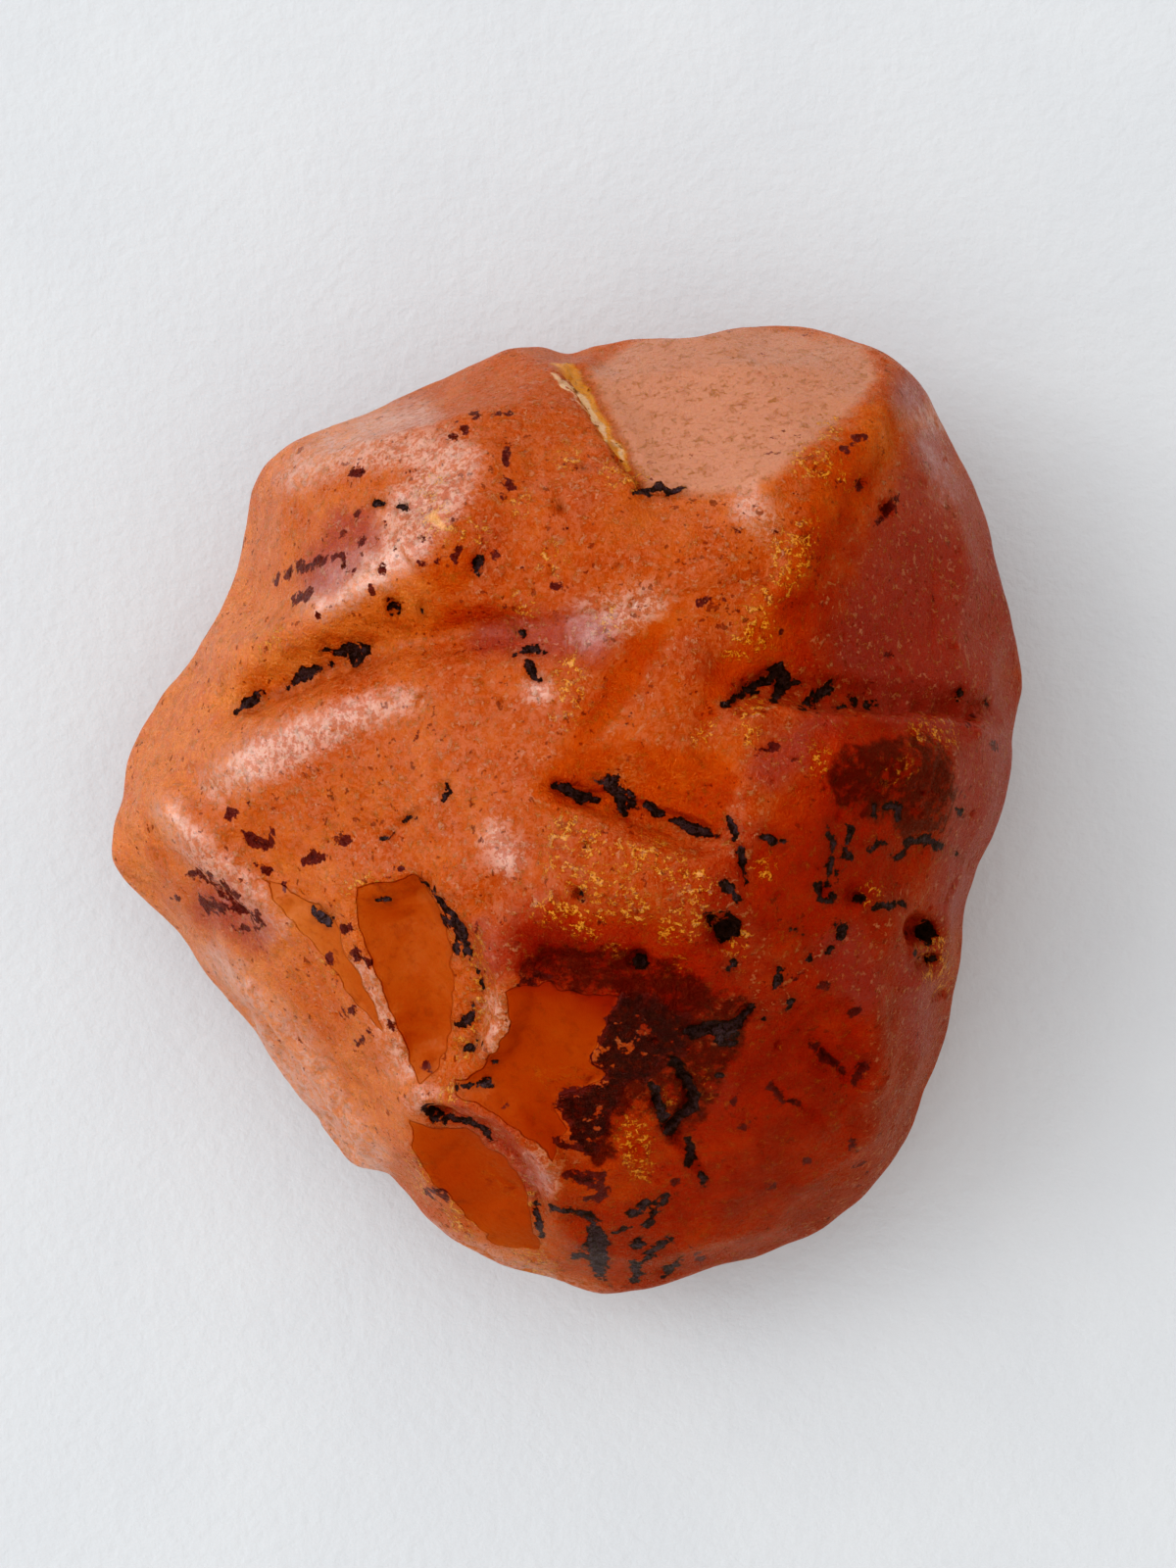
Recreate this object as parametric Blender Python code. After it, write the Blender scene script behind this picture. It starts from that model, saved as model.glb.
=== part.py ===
"""A raw amber nugget: one natural lump, broken and water-worn, resting on a flat worn face.

The relief is surveyed like a small hill. A surveyor's eye straight above sights each point on the level plane
of the nugget's waist and notes its height; sighted() brings it to its true place. East is +X, south is -Y,
and all survey readings are in millimetres. Rings below the widest line, which the eye can't see, are read on
the plan. A fine ball is shrunk onto this cage, worn round, scarred, pitted and ground flat below.
Run with: blender --background --python part.py
"""

import bmesh
import bpy
import numpy as np
from mathutils import Vector, noise
from mathutils.bvhtree import BVHTree
from mathutils.geometry import delaunay_2d_cdt

MM = 0.001
MERGE = 0.001  # millimetres within which the triangulation takes two points for one

# Driving dimensions, in millimetres.
WIDTH, DEPTH, HEIGHT = 93.8, 99.1, 58.0  # east-west, north-south, and above the table
MIDDLE = (57.7, 83.1)  # the survey's east and south readings at the middle of the nugget
EYE = (60.0, 80.0)  # readings straight below the eye
EYE_HEIGHT = 397.8  # of the eye, above the table
WAIST = 20.0  # height of the level plane on which points are sighted

# The widest line all round, clockwise from the notch in the north: east, south, height.
OUTLINE = [
    (58.6, 36.4, 20), (60.2, 35.3, 21), (63.5, 34.6, 23), (67.5, 34.3, 26), (71, 34.2, 27), (75, 33.3, 25),
    (80, 33.2, 22), (85, 33.9, 24), (89, 35.3, 28), (92.3, 37.5, 29), (95, 40.3, 26), (97, 44, 22),
    (99.2, 48.5, 20), (101.3, 54, 21), (102.2, 58.5, 24), (103.6, 63, 22), (104.4, 68, 18), (104.3, 71.5, 18),
    (103.5, 74.6, 21), (103.4, 78, 24), (102.6, 82, 26), (101.2, 86, 25), (99.6, 89.3, 21), (98.4, 92.5, 20),
    (98.2, 96, 22), (97.8, 100, 21), (96.9, 105, 17), (95.4, 110, 15), (93.3, 115, 17), (90.8, 119.2, 19),
    (87.5, 123, 18), (83.5, 126.2, 15), (79, 128, 13.5), (74.5, 129.2, 15.5), (70, 130.7, 18), (66, 131.9, 18),
    (62, 132.3, 16), (58, 131.9, 14), (54, 130.8, 15), (50, 128.8, 18), (46, 126.6, 20), (43, 124.1, 18),
    (40.9, 121.5, 16), (39.3, 119.8, 13), (36.5, 119.5, 10), (34.6, 117.2, 9), (32.3, 114.2, 9),
    (29.8, 111.5, 9), (27.8, 108.6, 9), (26.2, 105.6, 9), (23.5, 102.3, 10), (20.6, 98.9, 10), (18, 95.3, 11),
    (15.2, 92.7, 12), (12.8, 90.8, 14), (11.1, 88, 16), (11.2, 84.8, 16), (12.3, 81, 15), (13, 77.5, 15),
    (14.4, 74, 14), (16.6, 70.5, 15), (19.6, 66.6, 18), (22.3, 62.5, 20), (24.2, 58, 18), (25.1, 54, 17),
    (25.4, 50.5, 20), (26.8, 47.6, 24), (29.6, 45.2, 26), (34, 43.3, 25), (39, 41.3, 22), (43.5, 39.4, 21),
    (48, 37.4, 24), (52, 35.9, 26), (55.5, 35.4, 23),
]

# Lines where the surface turns sharply. Their rounding stays small.
CREASES = {
    "riser_top": [(56.4, 37.8, 35.5), (59.2, 42.1, 42), (61.8, 46.1, 46.5), (64.4, 49.6, 49.1)],
    "riser_foot": [(59, 37.2, 30.8), (61.3, 40.8, 37.2), (63.5, 44.8, 42.9), (65.8, 48.6, 46.8)],
    "ledge_brow": [
        (76.5, 73.3, 55.6), (80, 73.1, 54.9), (84, 72.8, 53.7), (88, 73, 51.6), (92, 73.4, 48.4),
        (96.5, 73.9, 44), (100, 74.8, 39), (102.3, 76.6, 31),
    ],
    "ledge_foot": [
        (76, 69.8, 53.9), (79.5, 70.3, 52.6), (83, 70.6, 50.4), (87, 70.9, 47.3), (91.5, 71.5, 43.5),
        (96, 72, 39.2), (100, 72.6, 34.6), (102.8, 74.2, 27),
    ],
    "scar_rim": [
        (42.3, 89.2, 45), (45.6, 91.2, 47.2), (48.4, 94.4, 48.7), (50.2, 98, 49), (51.5, 101.4, 48.3),
        (51.6, 104.6, 46.4), (49.8, 107.6, 43.6), (47.2, 109.9, 40.8), (44.6, 111.3, 38.2),
    ],
    "scar_foot": [
        (43, 91.3, 43), (45, 94, 43.9), (46.7, 97.3, 44), (47.7, 100.8, 43.3), (47.9, 104, 41.9),
        (46.9, 107, 39.7), (44.9, 109.2, 37.6),
    ],
    "lower_scar_rim": [
        (43.3, 112.6, 38), (46.6, 112.9, 39.6), (50.2, 114.2, 40.6), (53.3, 116.3, 40.5), (55.7, 119, 39),
        (56.8, 122, 36.5), (57, 125.5, 32.5),
    ],
    "lower_scar_foot": [
        (44, 114, 36), (47, 114.9, 36.2), (50, 116.7, 36.3), (52.5, 119.3, 35), (54, 122.3, 32.3),
        (54.5, 125.6, 29),
    ],
    "slot_lip": [(54.8, 81.4, 54), (57.5, 83.1, 55), (61, 84.7, 56), (66, 86.5, 56.9), (70.5, 87.8, 57.2),
                 (73.5, 88, 57.2)],
    "slot_floor": [(55.6, 79.6, 53.2), (59, 81.4, 53.2), (63.5, 83.1, 53.7), (68, 84.9, 54.3), (72, 86.3, 54.9)],
}

# Lines where the surface turns gently.
RIDGES = {
    "long_valley": [
        (24.3, 72, 29.5), (28.3, 70, 33), (32.3, 68.4, 36.2), (36.5, 66.7, 39.5), (41, 65.2, 42.9),
        (47, 64.2, 46.4), (54, 63.2, 49.9), (60, 62.3, 51.7), (66, 61.2, 52.5), (72, 59.6, 53),
    ],
    "north_brow": [(29, 49.5, 31), (33, 46.8, 35), (38, 45, 38.5), (43, 43.8, 40.7), (48, 42.3, 41.8),
                   (53, 41, 41.5)],
    "north_crest": [(28.5, 57.5, 31.5), (32, 54.5, 37), (37, 52.2, 42), (42, 51, 45.5), (47, 51, 47.5),
                    (53, 51.5, 49), (59, 52, 50.5)],
    "north_shoulder": [
        (21.5, 69.3, 25), (24.5, 66.4, 31), (28.5, 64.8, 36.3), (32.5, 63.3, 40.3), (36.5, 61.5, 43.7),
        (40, 60.3, 46.2), (44.5, 60.3, 47.8), (50, 60.6, 49.6), (56, 60, 51),
    ],
    "middle_crest": [
        (20.5, 80.3, 29), (24, 77.3, 33.5), (28.5, 74.2, 38), (33.5, 72, 42), (39.5, 70.4, 45.5),
        (46, 69.4, 48), (52, 69.5, 50.7), (57, 70.5, 52.7),
    ],
    "west_edge": [(14.8, 82.3, 23), (17.8, 79.2, 26.5), (21, 76.2, 29)],
    "knob": [(17.3, 82.4, 28), (19.7, 85.2, 30), (23, 88.3, 31.5), (26.5, 91.3, 33)],
    "knob_groove": [(15.6, 85.3, 24.3), (18.6, 88.2, 26.3), (22, 91.2, 28), (25.3, 94.3, 29)],
    "west_shoulder": [(29.5, 94.2, 33.7), (33.5, 99.2, 34.4), (37, 104, 34.8), (40, 109, 35.4), (41.5, 112.8, 35.8)],
    "flank_foot": [(20.5, 95.7, 19), (24.5, 100.5, 20), (28.5, 105.2, 21), (32.5, 110.2, 22), (36.3, 115.5, 22.5),
                   (39, 119, 21)],
    "scar_lip": [(35.2, 91.3, 40.3), (36.2, 94.5, 39.6), (38, 99, 38.6), (40.3, 104, 37.6), (41.8, 108.5, 36.8)],
    "lower_scar_lip": [(42.3, 115, 34), (42.8, 118.3, 31.3), (44, 121.3, 28.3), (46.8, 124, 25.5), (51, 126.8, 24),
                       (55.5, 128.3, 23.5)],
    "spine": [
        (91.3, 38.8, 35.5), (90.3, 41, 40), (88.5, 44, 44.3), (85.8, 47.5, 47.8), (83, 51.5, 50.3), (81, 56, 51.8),
        (79, 61, 52.8), (76.5, 65.5, 53.6),
    ],
    "facet_foot": [(66, 50.2, 48.4), (70, 50.6, 49.2), (75, 49.9, 50), (79, 48.4, 49.9), (82.3, 46.2, 48.6)],
    "block_edge": [(97.6, 77, 44.6), (97.3, 80.2, 44.8), (96.8, 83.6, 43.8), (96, 87, 41.8)],
    "south_brow": [
        (54.2, 96.4, 52.3), (58.5, 97.8, 53.2), (63, 99, 53.2), (68, 100, 52.5), (73, 101, 51.3), (77.5, 100.8, 50),
        (82, 98.5, 49.2), (86.5, 96, 48),
    ],
    "keel": [(75, 104.5, 48), (72.5, 109, 44.6), (70.5, 114.5, 40.3), (69, 120.5, 35)],
    "south_east_edge": [(89.3, 98.5, 44.3), (89.8, 102.5, 41.7), (89.8, 107, 38.5), (89.9, 111.5, 34.7),
                        (89.6, 116, 30)],
}

# Single heights between the lines.
SPOTS = [
    # north-west slope and the north lobe
    (34, 50, 38.5), (44, 47, 44), (50, 46, 45.6), (56, 46, 45.8), (27.5, 62, 29.5), (33, 59, 39.5), (39, 56.5, 45),
    (46, 56, 48.6), (53, 56.5, 50.4), (60, 57, 51.9), (66, 55.5, 52), (72, 54.5, 52.1), (77, 53, 51.8),
    # north facet, hollowed a little
    (63, 39, 34.5), (69, 38, 34.6), (76, 37, 34.8), (83, 37.5, 35.2), (67, 44, 41), (74, 43, 41.5), (81, 42, 41.8),
    (86.5, 40.5, 40),
    # east face
    (93.5, 45.5, 38), (97, 50, 33), (90.5, 51, 43.3), (95, 55.5, 38.2), (87, 56.5, 47), (99.4, 58, 32.5),
    (92, 61.5, 41.6), (85.5, 62, 48.6), (97.3, 65.5, 36.2), (90, 66.5, 43.8), (83, 66.5, 50.3), (101.5, 68, 30.5),
    # west flank of the middle ridge
    (16, 77.5, 22), (18.3, 73.3, 23), (21.5, 72, 26), (22, 66.5, 25.5),
    # middle ridge, down to the scar
    (47, 66.5, 47.3), (55, 66.5, 50.6), (36, 69.2, 41.5), (26, 82, 34.8), (33, 79, 41), (41, 77, 46.3),
    (49, 76.5, 50.5), (31, 87, 37.3), (38, 85.3, 42.5), (46, 85, 48.7), (52.5, 89, 52.3), (50.5, 83, 51.8),
    (29.8, 91.3, 36.2), (33.5, 95.5, 36.6), (37, 100.8, 36.3), (47.5, 90, 50),
    # west flank and its flange
    (14.5, 87.5, 20), (18.5, 92, 22), (23, 96.7, 24), (28, 99.5, 28), (33, 105.5, 28.5), (37.3, 111, 29),
    (40, 116, 29.5), (27, 106, 15), (31.5, 111.7, 15.2), (35.5, 117, 15),
    # floors of the two scars
    (38.3, 93.8, 40), (41.3, 95.5, 41), (41.2, 100.5, 39.4), (43.6, 105.3, 38), (44.4, 99.7, 41.4),
    (45, 117.3, 33.2), (49, 119.3, 33), (51.3, 122.5, 30.5), (46.8, 121.3, 30), (52, 125.4, 27.5),
    # high ground in the middle
    (61, 66.5, 52.7), (66, 65, 53.3), (71, 64.3, 53.8), (62, 72.3, 53.8), (67.5, 71.5, 54.6), (72.5, 71, 55),
    (59.5, 76.5, 54.3), (66, 76.8, 55.4), (72.5, 78, 56.4), (77.5, 79, 57), (76, 84.5, 57.6), (58, 88, 55.8),
    (65, 91, 57), (71.5, 92.3, 57), (77.5, 93, 55.2), (56, 93, 54.6),
    # the block in the east
    (83, 78.5, 56), (88, 78, 53.8), (93, 78, 50), (83, 84.5, 55.5), (89, 84.5, 51.8), (93.5, 84, 48),
    (84, 90.5, 52.6), (89.5, 90, 48.6), (100.7, 79.5, 36.5), (100.2, 83.5, 34.5), (98.6, 87.3, 33),
    # hollow under the block
    (93.3, 92.3, 43), (94.8, 95.5, 37.8), (95.2, 99, 35.8), (91.3, 95.5, 45.2), (96.9, 92.7, 34), (97.2, 97.5, 30),
    # south face
    (56.5, 102.5, 49), (62, 103.5, 49.6), (67.5, 105, 48.6), (55, 108, 44.6), (60.5, 109.5, 44.8), (66, 111, 44),
    (53.5, 112, 42.2), (59.5, 115, 40.8), (64.5, 117, 39.8), (61, 121.5, 36), (65, 124.5, 32), (59, 127.5, 29),
    (66, 129, 25.5), (81, 104, 45.8), (85.5, 102, 45), (79.5, 110, 42.2), (85.5, 109, 40.2), (77, 116.5, 37.7),
    (84, 115.5, 35.2), (75.5, 122.5, 31.5), (82, 121.5, 29.5), (72, 127, 26), (79, 125.8, 24),
    (93.8, 103, 33), (93.5, 108.5, 28.5), (92, 113.5, 25.5),
]

# The side that rests on the table, from the widest line down: belly, girdle, and the foot of the worn flat face.
BELLY = [
    (59, 39, 12), (65.5, 36, 15), (73.5, 37.5, 12), (82.5, 38, 11), (89.8, 39.2, 18), (94.6, 43.4, 15),
    (97.6, 51.5, 11), (100.4, 59.5, 13), (103, 68.8, 9.5), (101.2, 76.5, 11), (100.6, 84.5, 15), (95.6, 92, 10),
    (96, 100.2, 12), (92, 110, 7.5), (88.6, 118.6, 10), (81, 123.6, 6.5), (72.6, 128, 10), (64.5, 129.6, 8),
    (56.6, 128.4, 7), (49, 125.6, 11), (42.6, 119.8, 8), (36, 116.2, 5), (29.2, 107.4, 4.6), (22.6, 99.8, 5.2),
    (16.8, 92.2, 7), (13.4, 87, 9.5), (15, 80.5, 7), (16.4, 74, 8.5), (22, 66.4, 12), (26.2, 58.5, 9),
    (27, 51, 14), (33, 45.6, 17), (42.6, 43, 12), (50.8, 38.4, 17),
]
GIRDLE = [
    (57, 43, 6.5), (68, 40.2, 5.8), (80, 40.5, 7), (90, 44, 8), (95, 54, 5), (97.5, 66, 4.2), (95.5, 78, 5.6),
    (92.5, 89, 4.6), (90, 101, 4), (85, 112, 3.6), (75, 119.5, 3.4), (64, 122.5, 3), (53, 119, 4.2),
    (44, 112.5, 2.6), (34, 107.5, 1.8), (26, 98.5, 2), (20.5, 89, 4.4), (20.5, 79, 3.8), (26, 68, 4.6),
    (30.5, 57, 6), (38, 49.5, 6.4), (48, 45.5, 6),
]
FOOT = [
    (57, 58), (68, 55), (78, 59), (84, 69), (82.5, 81), (80, 93), (73, 103), (62, 107.5), (51, 104), (42.5, 96.5),
    (38, 86), (39.5, 74), (47, 64),
]
UNDER_SPOTS = [(60, 50, 2.2), (75, 49, 1.6), (87, 57, 2.6), (90, 74, 1.4), (86.5, 92, 1.8), (79, 109.5, 1.2),
               (60, 115, 1.6), (45, 105.5, 0.9), (33, 95, 1), (28, 83, 1.8), (33, 67, 1.4), (44, 54.5, 2.4)]

# Shallow old scars on the sides: bearing clockwise from north, height, tilt down, width, depth.
SIDE_SCARS = [
    (14, 8, 28, 36, 2.8), (40, 15, 10, 12, 1.1), (55, 8, 26, 19, 1.5), (80, 5, 38, 27, 1.7), (106, 5, 40, 17, 1.5),
    (128, 9, 14, 12, 1), (147, 6, 30, 25, 1.7), (170, 8, 20, 15, 1.1), (190, 6, 36, 22, 1.8), (269, 6, 30, 14, 1.1),
    (290, 6, 34, 22, 1.5), (308, 6, 38, 12, 1.1), (326, 9, 24, 21, 1.7), (349, 14, 8, 10, 0.9),
]

# Round pits: east, south, radius, depth.
PITS = [
    (74, 95, 1.9, 1.9), (65.4, 97.9, 1.2, 1.1), (94.4, 95.2, 1.6, 2.2), (95, 98.6, 1.2, 1.6), (40.3, 62, 1.1, 1.2),
    (59, 91, 0.9, 0.7), (87.5, 91.5, 0.9, 0.8), (44.8, 113.8, 1.0, 1.0), (57.3, 51.7, 0.9, 0.7),
]

HEART = Vector((0.13, 0.21, 14.37))  # sees all of the surface from inside; uneven, so no ray runs along an edge
FINENESS = 8  # icosphere subdivisions of the working mesh
TRIANGLES = 9800  # of the finished solid
ROUNDING_PASSES, LAST_PASSES = 130, 14  # of wear before and after the side scars
WEAR, SWELL_BACK = 0.6, -0.61  # strength of each wearing step, and of the step that restores the volume
LEAST_ROUNDING = 0.1  # share of the rounding that reaches a crease
CREASE_REACH = 2.0  # a crease keeps its turn within this distance
SWELL_SIZE, SWELL_HEIGHT = 13.0, 0.45  # gentle unevenness of the worn surface
PIT_SPREAD = 1.5  # a pit's rim fades out at this many times its radius
FOOT_WEAR = 0.5  # ground off below, which leaves the resting face flat


def sighted(east, south, height):
    """The true place, in millimetres, of a point sighted from the eye."""
    nearer = (EYE_HEIGHT - height) / (EYE_HEIGHT - WAIST)
    x = EYE[0] + (east - EYE[0]) * nearer - MIDDLE[0]
    y = MIDDLE[1] - (EYE[1] + (south - EYE[1]) * nearer)
    return Vector((x, y, height))


def below(east, south, height):
    """The true place of a point under the widest line, which the eye can't see: read on the plan."""
    return Vector((east - MIDDLE[0], MIDDLE[1] - south, height))


def skin(rings, lines, spots):
    """Triangles over closed rings, open lines and spots, inside the first ring, as (points, triangles)."""
    points, edges = [], []
    for line in (*rings, *lines):
        start = len(points)
        points += line
        edges += [(i, i + 1) for i in range(start, len(points) - 1)]
        if line in rings:
            edges.append((len(points) - 1, start))
    points += spots
    rim = list(range(len(rings[0])))
    verts, _, faces, sources, _, _ = delaunay_2d_cdt([p.to_2d() for p in points], edges, [rim], 1, MERGE)
    if len(verts) != len(points):
        crossing = [tuple(round(c, 1) for c in v) for v, s in zip(verts, sources) if not s]
        raise ValueError(f"relief lines cross or meet at {crossing}")
    return [points[s[0]] for s in sources], faces


def cage():
    """The closed low-poly nugget: the surveyed top, and the side that it rests on."""
    rim = [sighted(*p) for p in OUTLINE]
    lines = [[sighted(*p) for p in line] for line in (*CREASES.values(), *RIDGES.values())]
    spots = [sighted(*p) for p in SPOTS]
    top_points, top_faces = skin([rim], lines, spots)
    rings = [rim, [below(*p) for p in BELLY], [below(*p) for p in GIRDLE], [below(*p, 0) for p in FOOT]]
    under_points, under_faces = skin(rings, [], [Vector((0, 0, 0)), *(below(*p) for p in UNDER_SPOTS)])
    faces = [tuple(f) for f in top_faces]
    faces += [tuple(len(top_points) + i for i in f) for f in under_faces]
    return BVHTree.FromPolygons(top_points + under_points, faces)


def ball():
    """A fine triangulated sphere: unit directions, and pairs of neighbours."""
    bm = bmesh.new()
    bmesh.ops.create_icosphere(bm, subdivisions=FINENESS, radius=1)
    mesh = bpy.data.meshes.new("raw_amber")
    bm.to_mesh(mesh)
    bm.free()
    directions = np.empty(len(mesh.vertices) * 3)
    mesh.vertices.foreach_get("co", directions)
    pairs = np.empty(len(mesh.edges) * 2, int)
    mesh.edges.foreach_get("vertices", pairs)
    return mesh, directions.reshape(-1, 3), pairs.reshape(-1, 2)


def cast(tree, directions):
    """Where each direction from the heart leaves the cage, in millimetres."""
    reach = 2 * max(WIDTH, DEPTH, HEIGHT)
    places = []
    for direction in directions:
        outward = Vector(direction).normalized()
        hit = tree.ray_cast(HEART + outward * reach, -outward)[0]
        places.append(hit)
    return np.array(places)


def distance_to_lines(places, lines):
    """Distance from each place to the nearest of the lines."""
    nearest = np.full(len(places), np.inf)
    for line in lines:
        for start, end in zip(line[:-1], line[1:]):
            a, along = np.array(start), np.array(end - start)
            share = np.clip((places - a) @ along / (along @ along), 0, 1)
            nearest = np.minimum(nearest, np.linalg.norm(places - a - share[:, None] * along, axis=1))
    return nearest


def rounded(places, pairs, freedom, passes):
    """places with their edges worn round, by smoothing that keeps the volume."""
    a, b = pairs.T
    count = len(places)
    degree = np.bincount(pairs.ravel(), minlength=count)[:, None]
    for factor in (WEAR, SWELL_BACK) * passes:
        total = np.empty_like(places)
        for axis in range(3):
            total[:, axis] = np.bincount(a, places[b, axis], count) + np.bincount(b, places[a, axis], count)
        places = places + factor * freedom * (total / degree - places)
    return places


def readings(places):
    """The survey's east and south readings of places seen from the eye."""
    farther = (EYE_HEIGHT - WAIST) / (EYE_HEIGHT - places[:, 2])
    east = EYE[0] + (places[:, 0] + MIDDLE[0] - EYE[0]) * farther
    south = EYE[1] + (MIDDLE[1] - places[:, 1] - EYE[1]) * farther
    return east, south


def smooth_fall(share):
    """1 at share 0, falling smoothly to 0 at share 1."""
    share = np.clip(share, 0, 1)
    return (1 - share * share) ** 2


def weathered(places):
    """places with the swells of the worn surface, and its round pits."""
    outward = places - np.array(HEART)
    outward /= np.linalg.norm(outward, axis=1)[:, None]
    swell = [SWELL_HEIGHT * noise.noise(Vector(p) / SWELL_SIZE) for p in places]
    east, south = readings(places)
    depth = np.zeros(len(places))
    for pit_east, pit_south, radius, deep in PITS:
        away = np.hypot(east - pit_east, south - pit_south)
        depth = np.maximum(depth, deep * smooth_fall(away / (PIT_SPREAD * radius)))
    depth[places[:, 2] < WAIST] = 0
    return places + outward * (np.array(swell) - depth)[:, None]


def scarred(places):
    """places with the shallow old scars of the sides, each a dish cut by a sphere."""
    inward = np.array(HEART) - places
    inward /= np.linalg.norm(inward, axis=1)[:, None]
    bearings = np.degrees(np.arctan2(places[:, 0], places[:, 1]))
    for bearing, height, tilt, width, depth in SIDE_SCARS:
        turn = (bearings - bearing + 180) % 360 - 180
        nearest = np.argmin(np.abs(turn) + np.abs(places[:, 2] - height))
        level = np.array((np.sin(np.radians(bearing)), np.cos(np.radians(bearing)), 0))
        outward = level * np.cos(np.radians(tilt)) - np.array((0, 0, np.sin(np.radians(tilt))))
        radius = (width * width / 4 + depth * depth) / (2 * depth)
        offset = places - (places[nearest] + outward * (radius - depth))
        across = np.einsum("ij,ij->i", offset, inward)
        inside = radius * radius - np.einsum("ij,ij->i", offset, offset)
        push = np.where(inside > 0, np.sqrt(np.maximum(across * across + inside, 0)) - across, 0)
        places = places + inward * push[:, None]
    return places


def fitted(places):
    """places with the resting face ground flat at height 0, stretched to the driving dimensions."""
    places[:, 2] = np.maximum(places[:, 2] - FOOT_WEAR, 0)
    low, high = places.min(axis=0), places.max(axis=0)
    size = np.array((WIDTH, DEPTH, HEIGHT))
    middle = (low + high) / 2 * (1, 1, 0)
    return (places - middle) * size / (high - low)


def thinned(mesh, faces_kept):
    """The mesh with only as many triangles as its form needs."""
    worker = bpy.data.objects.new("thinning", mesh)
    bpy.context.scene.collection.objects.link(worker)
    decimate = worker.modifiers.new("thin", "DECIMATE")
    decimate.ratio = faces_kept / len(mesh.polygons)
    view = bpy.context.evaluated_depsgraph_get()
    thin = bpy.data.meshes.new_from_object(worker.evaluated_get(view))
    thin.name = mesh.name
    bpy.data.objects.remove(worker)
    return thin


def amber():
    """Weathered reddish amber: satin, warm, and not metallic."""
    material = bpy.data.materials.new("amber")
    material.use_nodes = True
    shader = material.node_tree.nodes["Principled BSDF"]
    shader.inputs["Base Color"].default_value = (0.47, 0.10, 0.02, 1)
    shader.inputs["Roughness"].default_value = 0.45
    shader.inputs["Metallic"].default_value = 0
    shader.inputs["IOR"].default_value = 1.54
    return material


def nugget():
    """The finished nugget, one solid."""
    mesh, directions, pairs = ball()
    places = cast(cage(), directions)
    creases = [[sighted(*p) for p in line] for line in CREASES.values()]
    near = smooth_fall(distance_to_lines(places, creases) / CREASE_REACH)
    freedom = 1 - (1 - LEAST_ROUNDING) * near
    places = rounded(places, pairs, freedom[:, None], ROUNDING_PASSES)
    places = rounded(scarred(places), pairs, freedom[:, None], LAST_PASSES)
    places = fitted(weathered(places))
    mesh.vertices.foreach_set("co", (places * MM).ravel())
    mesh = thinned(mesh, TRIANGLES)
    mesh.materials.append(amber())
    mesh.shade_smooth()
    stone = bpy.data.objects.new("raw_amber", mesh)
    bpy.context.scene.collection.objects.link(stone)
    return stone


def main():
    for old in list(bpy.data.objects):
        bpy.data.objects.remove(old)
    nugget()


main()
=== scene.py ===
"""The looks of the raw amber nugget: its crust, bare windows, dirt and fine relief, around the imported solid.

Marks on the upper side are placed by readings in millimetres: east and south on the level plane of the
nugget's waist, as they line up from a point straight above. Marks on the sides are placed by their way round,
clockwise from north, and their height. Lengths in the shaders are in metres.
"""

import bmesh
import bpy
import numpy as np
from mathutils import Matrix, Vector, noise
from mathutils.bvhtree import BVHTree


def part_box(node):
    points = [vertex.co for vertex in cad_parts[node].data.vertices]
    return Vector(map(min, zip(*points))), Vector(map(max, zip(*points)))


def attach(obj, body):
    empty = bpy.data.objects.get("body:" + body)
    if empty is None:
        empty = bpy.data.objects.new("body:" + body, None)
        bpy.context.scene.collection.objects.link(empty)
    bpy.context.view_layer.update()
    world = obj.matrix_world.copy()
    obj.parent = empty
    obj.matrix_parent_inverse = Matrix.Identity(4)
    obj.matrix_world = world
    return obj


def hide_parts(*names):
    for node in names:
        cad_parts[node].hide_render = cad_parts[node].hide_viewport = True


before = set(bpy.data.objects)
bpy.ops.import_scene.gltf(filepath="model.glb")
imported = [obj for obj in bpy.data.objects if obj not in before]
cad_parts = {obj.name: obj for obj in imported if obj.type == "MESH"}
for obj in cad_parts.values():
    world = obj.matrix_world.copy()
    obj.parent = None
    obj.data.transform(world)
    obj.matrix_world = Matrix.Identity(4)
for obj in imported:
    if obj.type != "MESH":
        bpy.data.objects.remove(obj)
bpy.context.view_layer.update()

MM = 0.001

# In millimetres: the readings of the nugget's middle and of the eye above it, and the heights of the eye and
# of the waist's plane.
MIDDLE = (57.7, 83.1)
EYE = (60.0, 80.0)
EYE_HEIGHT = 397.8
WAIST = 20.0
TURNED = 0.22  # how squarely a face is turned to the eye to take the upper side's marks in full

# The working mesh.
HEART = Vector((0.13, 0.21, 14.37))  # sees all of the surface from inside
OUTSIDE = 0.2  # metres from the heart, clear of the solid
FOOT = 0.12  # in millimetres: what is lower lies flat on the floor
FINENESS = 8  # subdivisions of the ball that is shrunk onto the solid
UPWARD = 0.3  # how far the ball's points crowd towards the top, where the fine relief is
WEAR, SWELL_BACK, PASSES = 0.6, -0.61, 26  # smoothing that takes the solid's facets away
TRIANGLES = 194000

# Fine unevenness of the crust: size and height in millimetres.
SWELLS = [(6.0, 0.17), (3.0, 0.06), (1.4, 0.03)]

# How far marks stand below or above the crust, in millimetres.
BARE_DROP, CLEAN_DROP, SIDE_BARE_DROP, CRUST_RISE = 0.10, 0.05, 0.25, 0.16

# The depth inside a mark that stands for far away from it: for marks in general, and for the softest ones.
AWAY, FAR_AWAY = -1.5, -4.0

# ----------------------------------------------------------------------------------------------------------
# Marks on the upper side. A stroke is a chain of (east, south, half width); one point alone is a round spot.
# ----------------------------------------------------------------------------------------------------------

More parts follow.
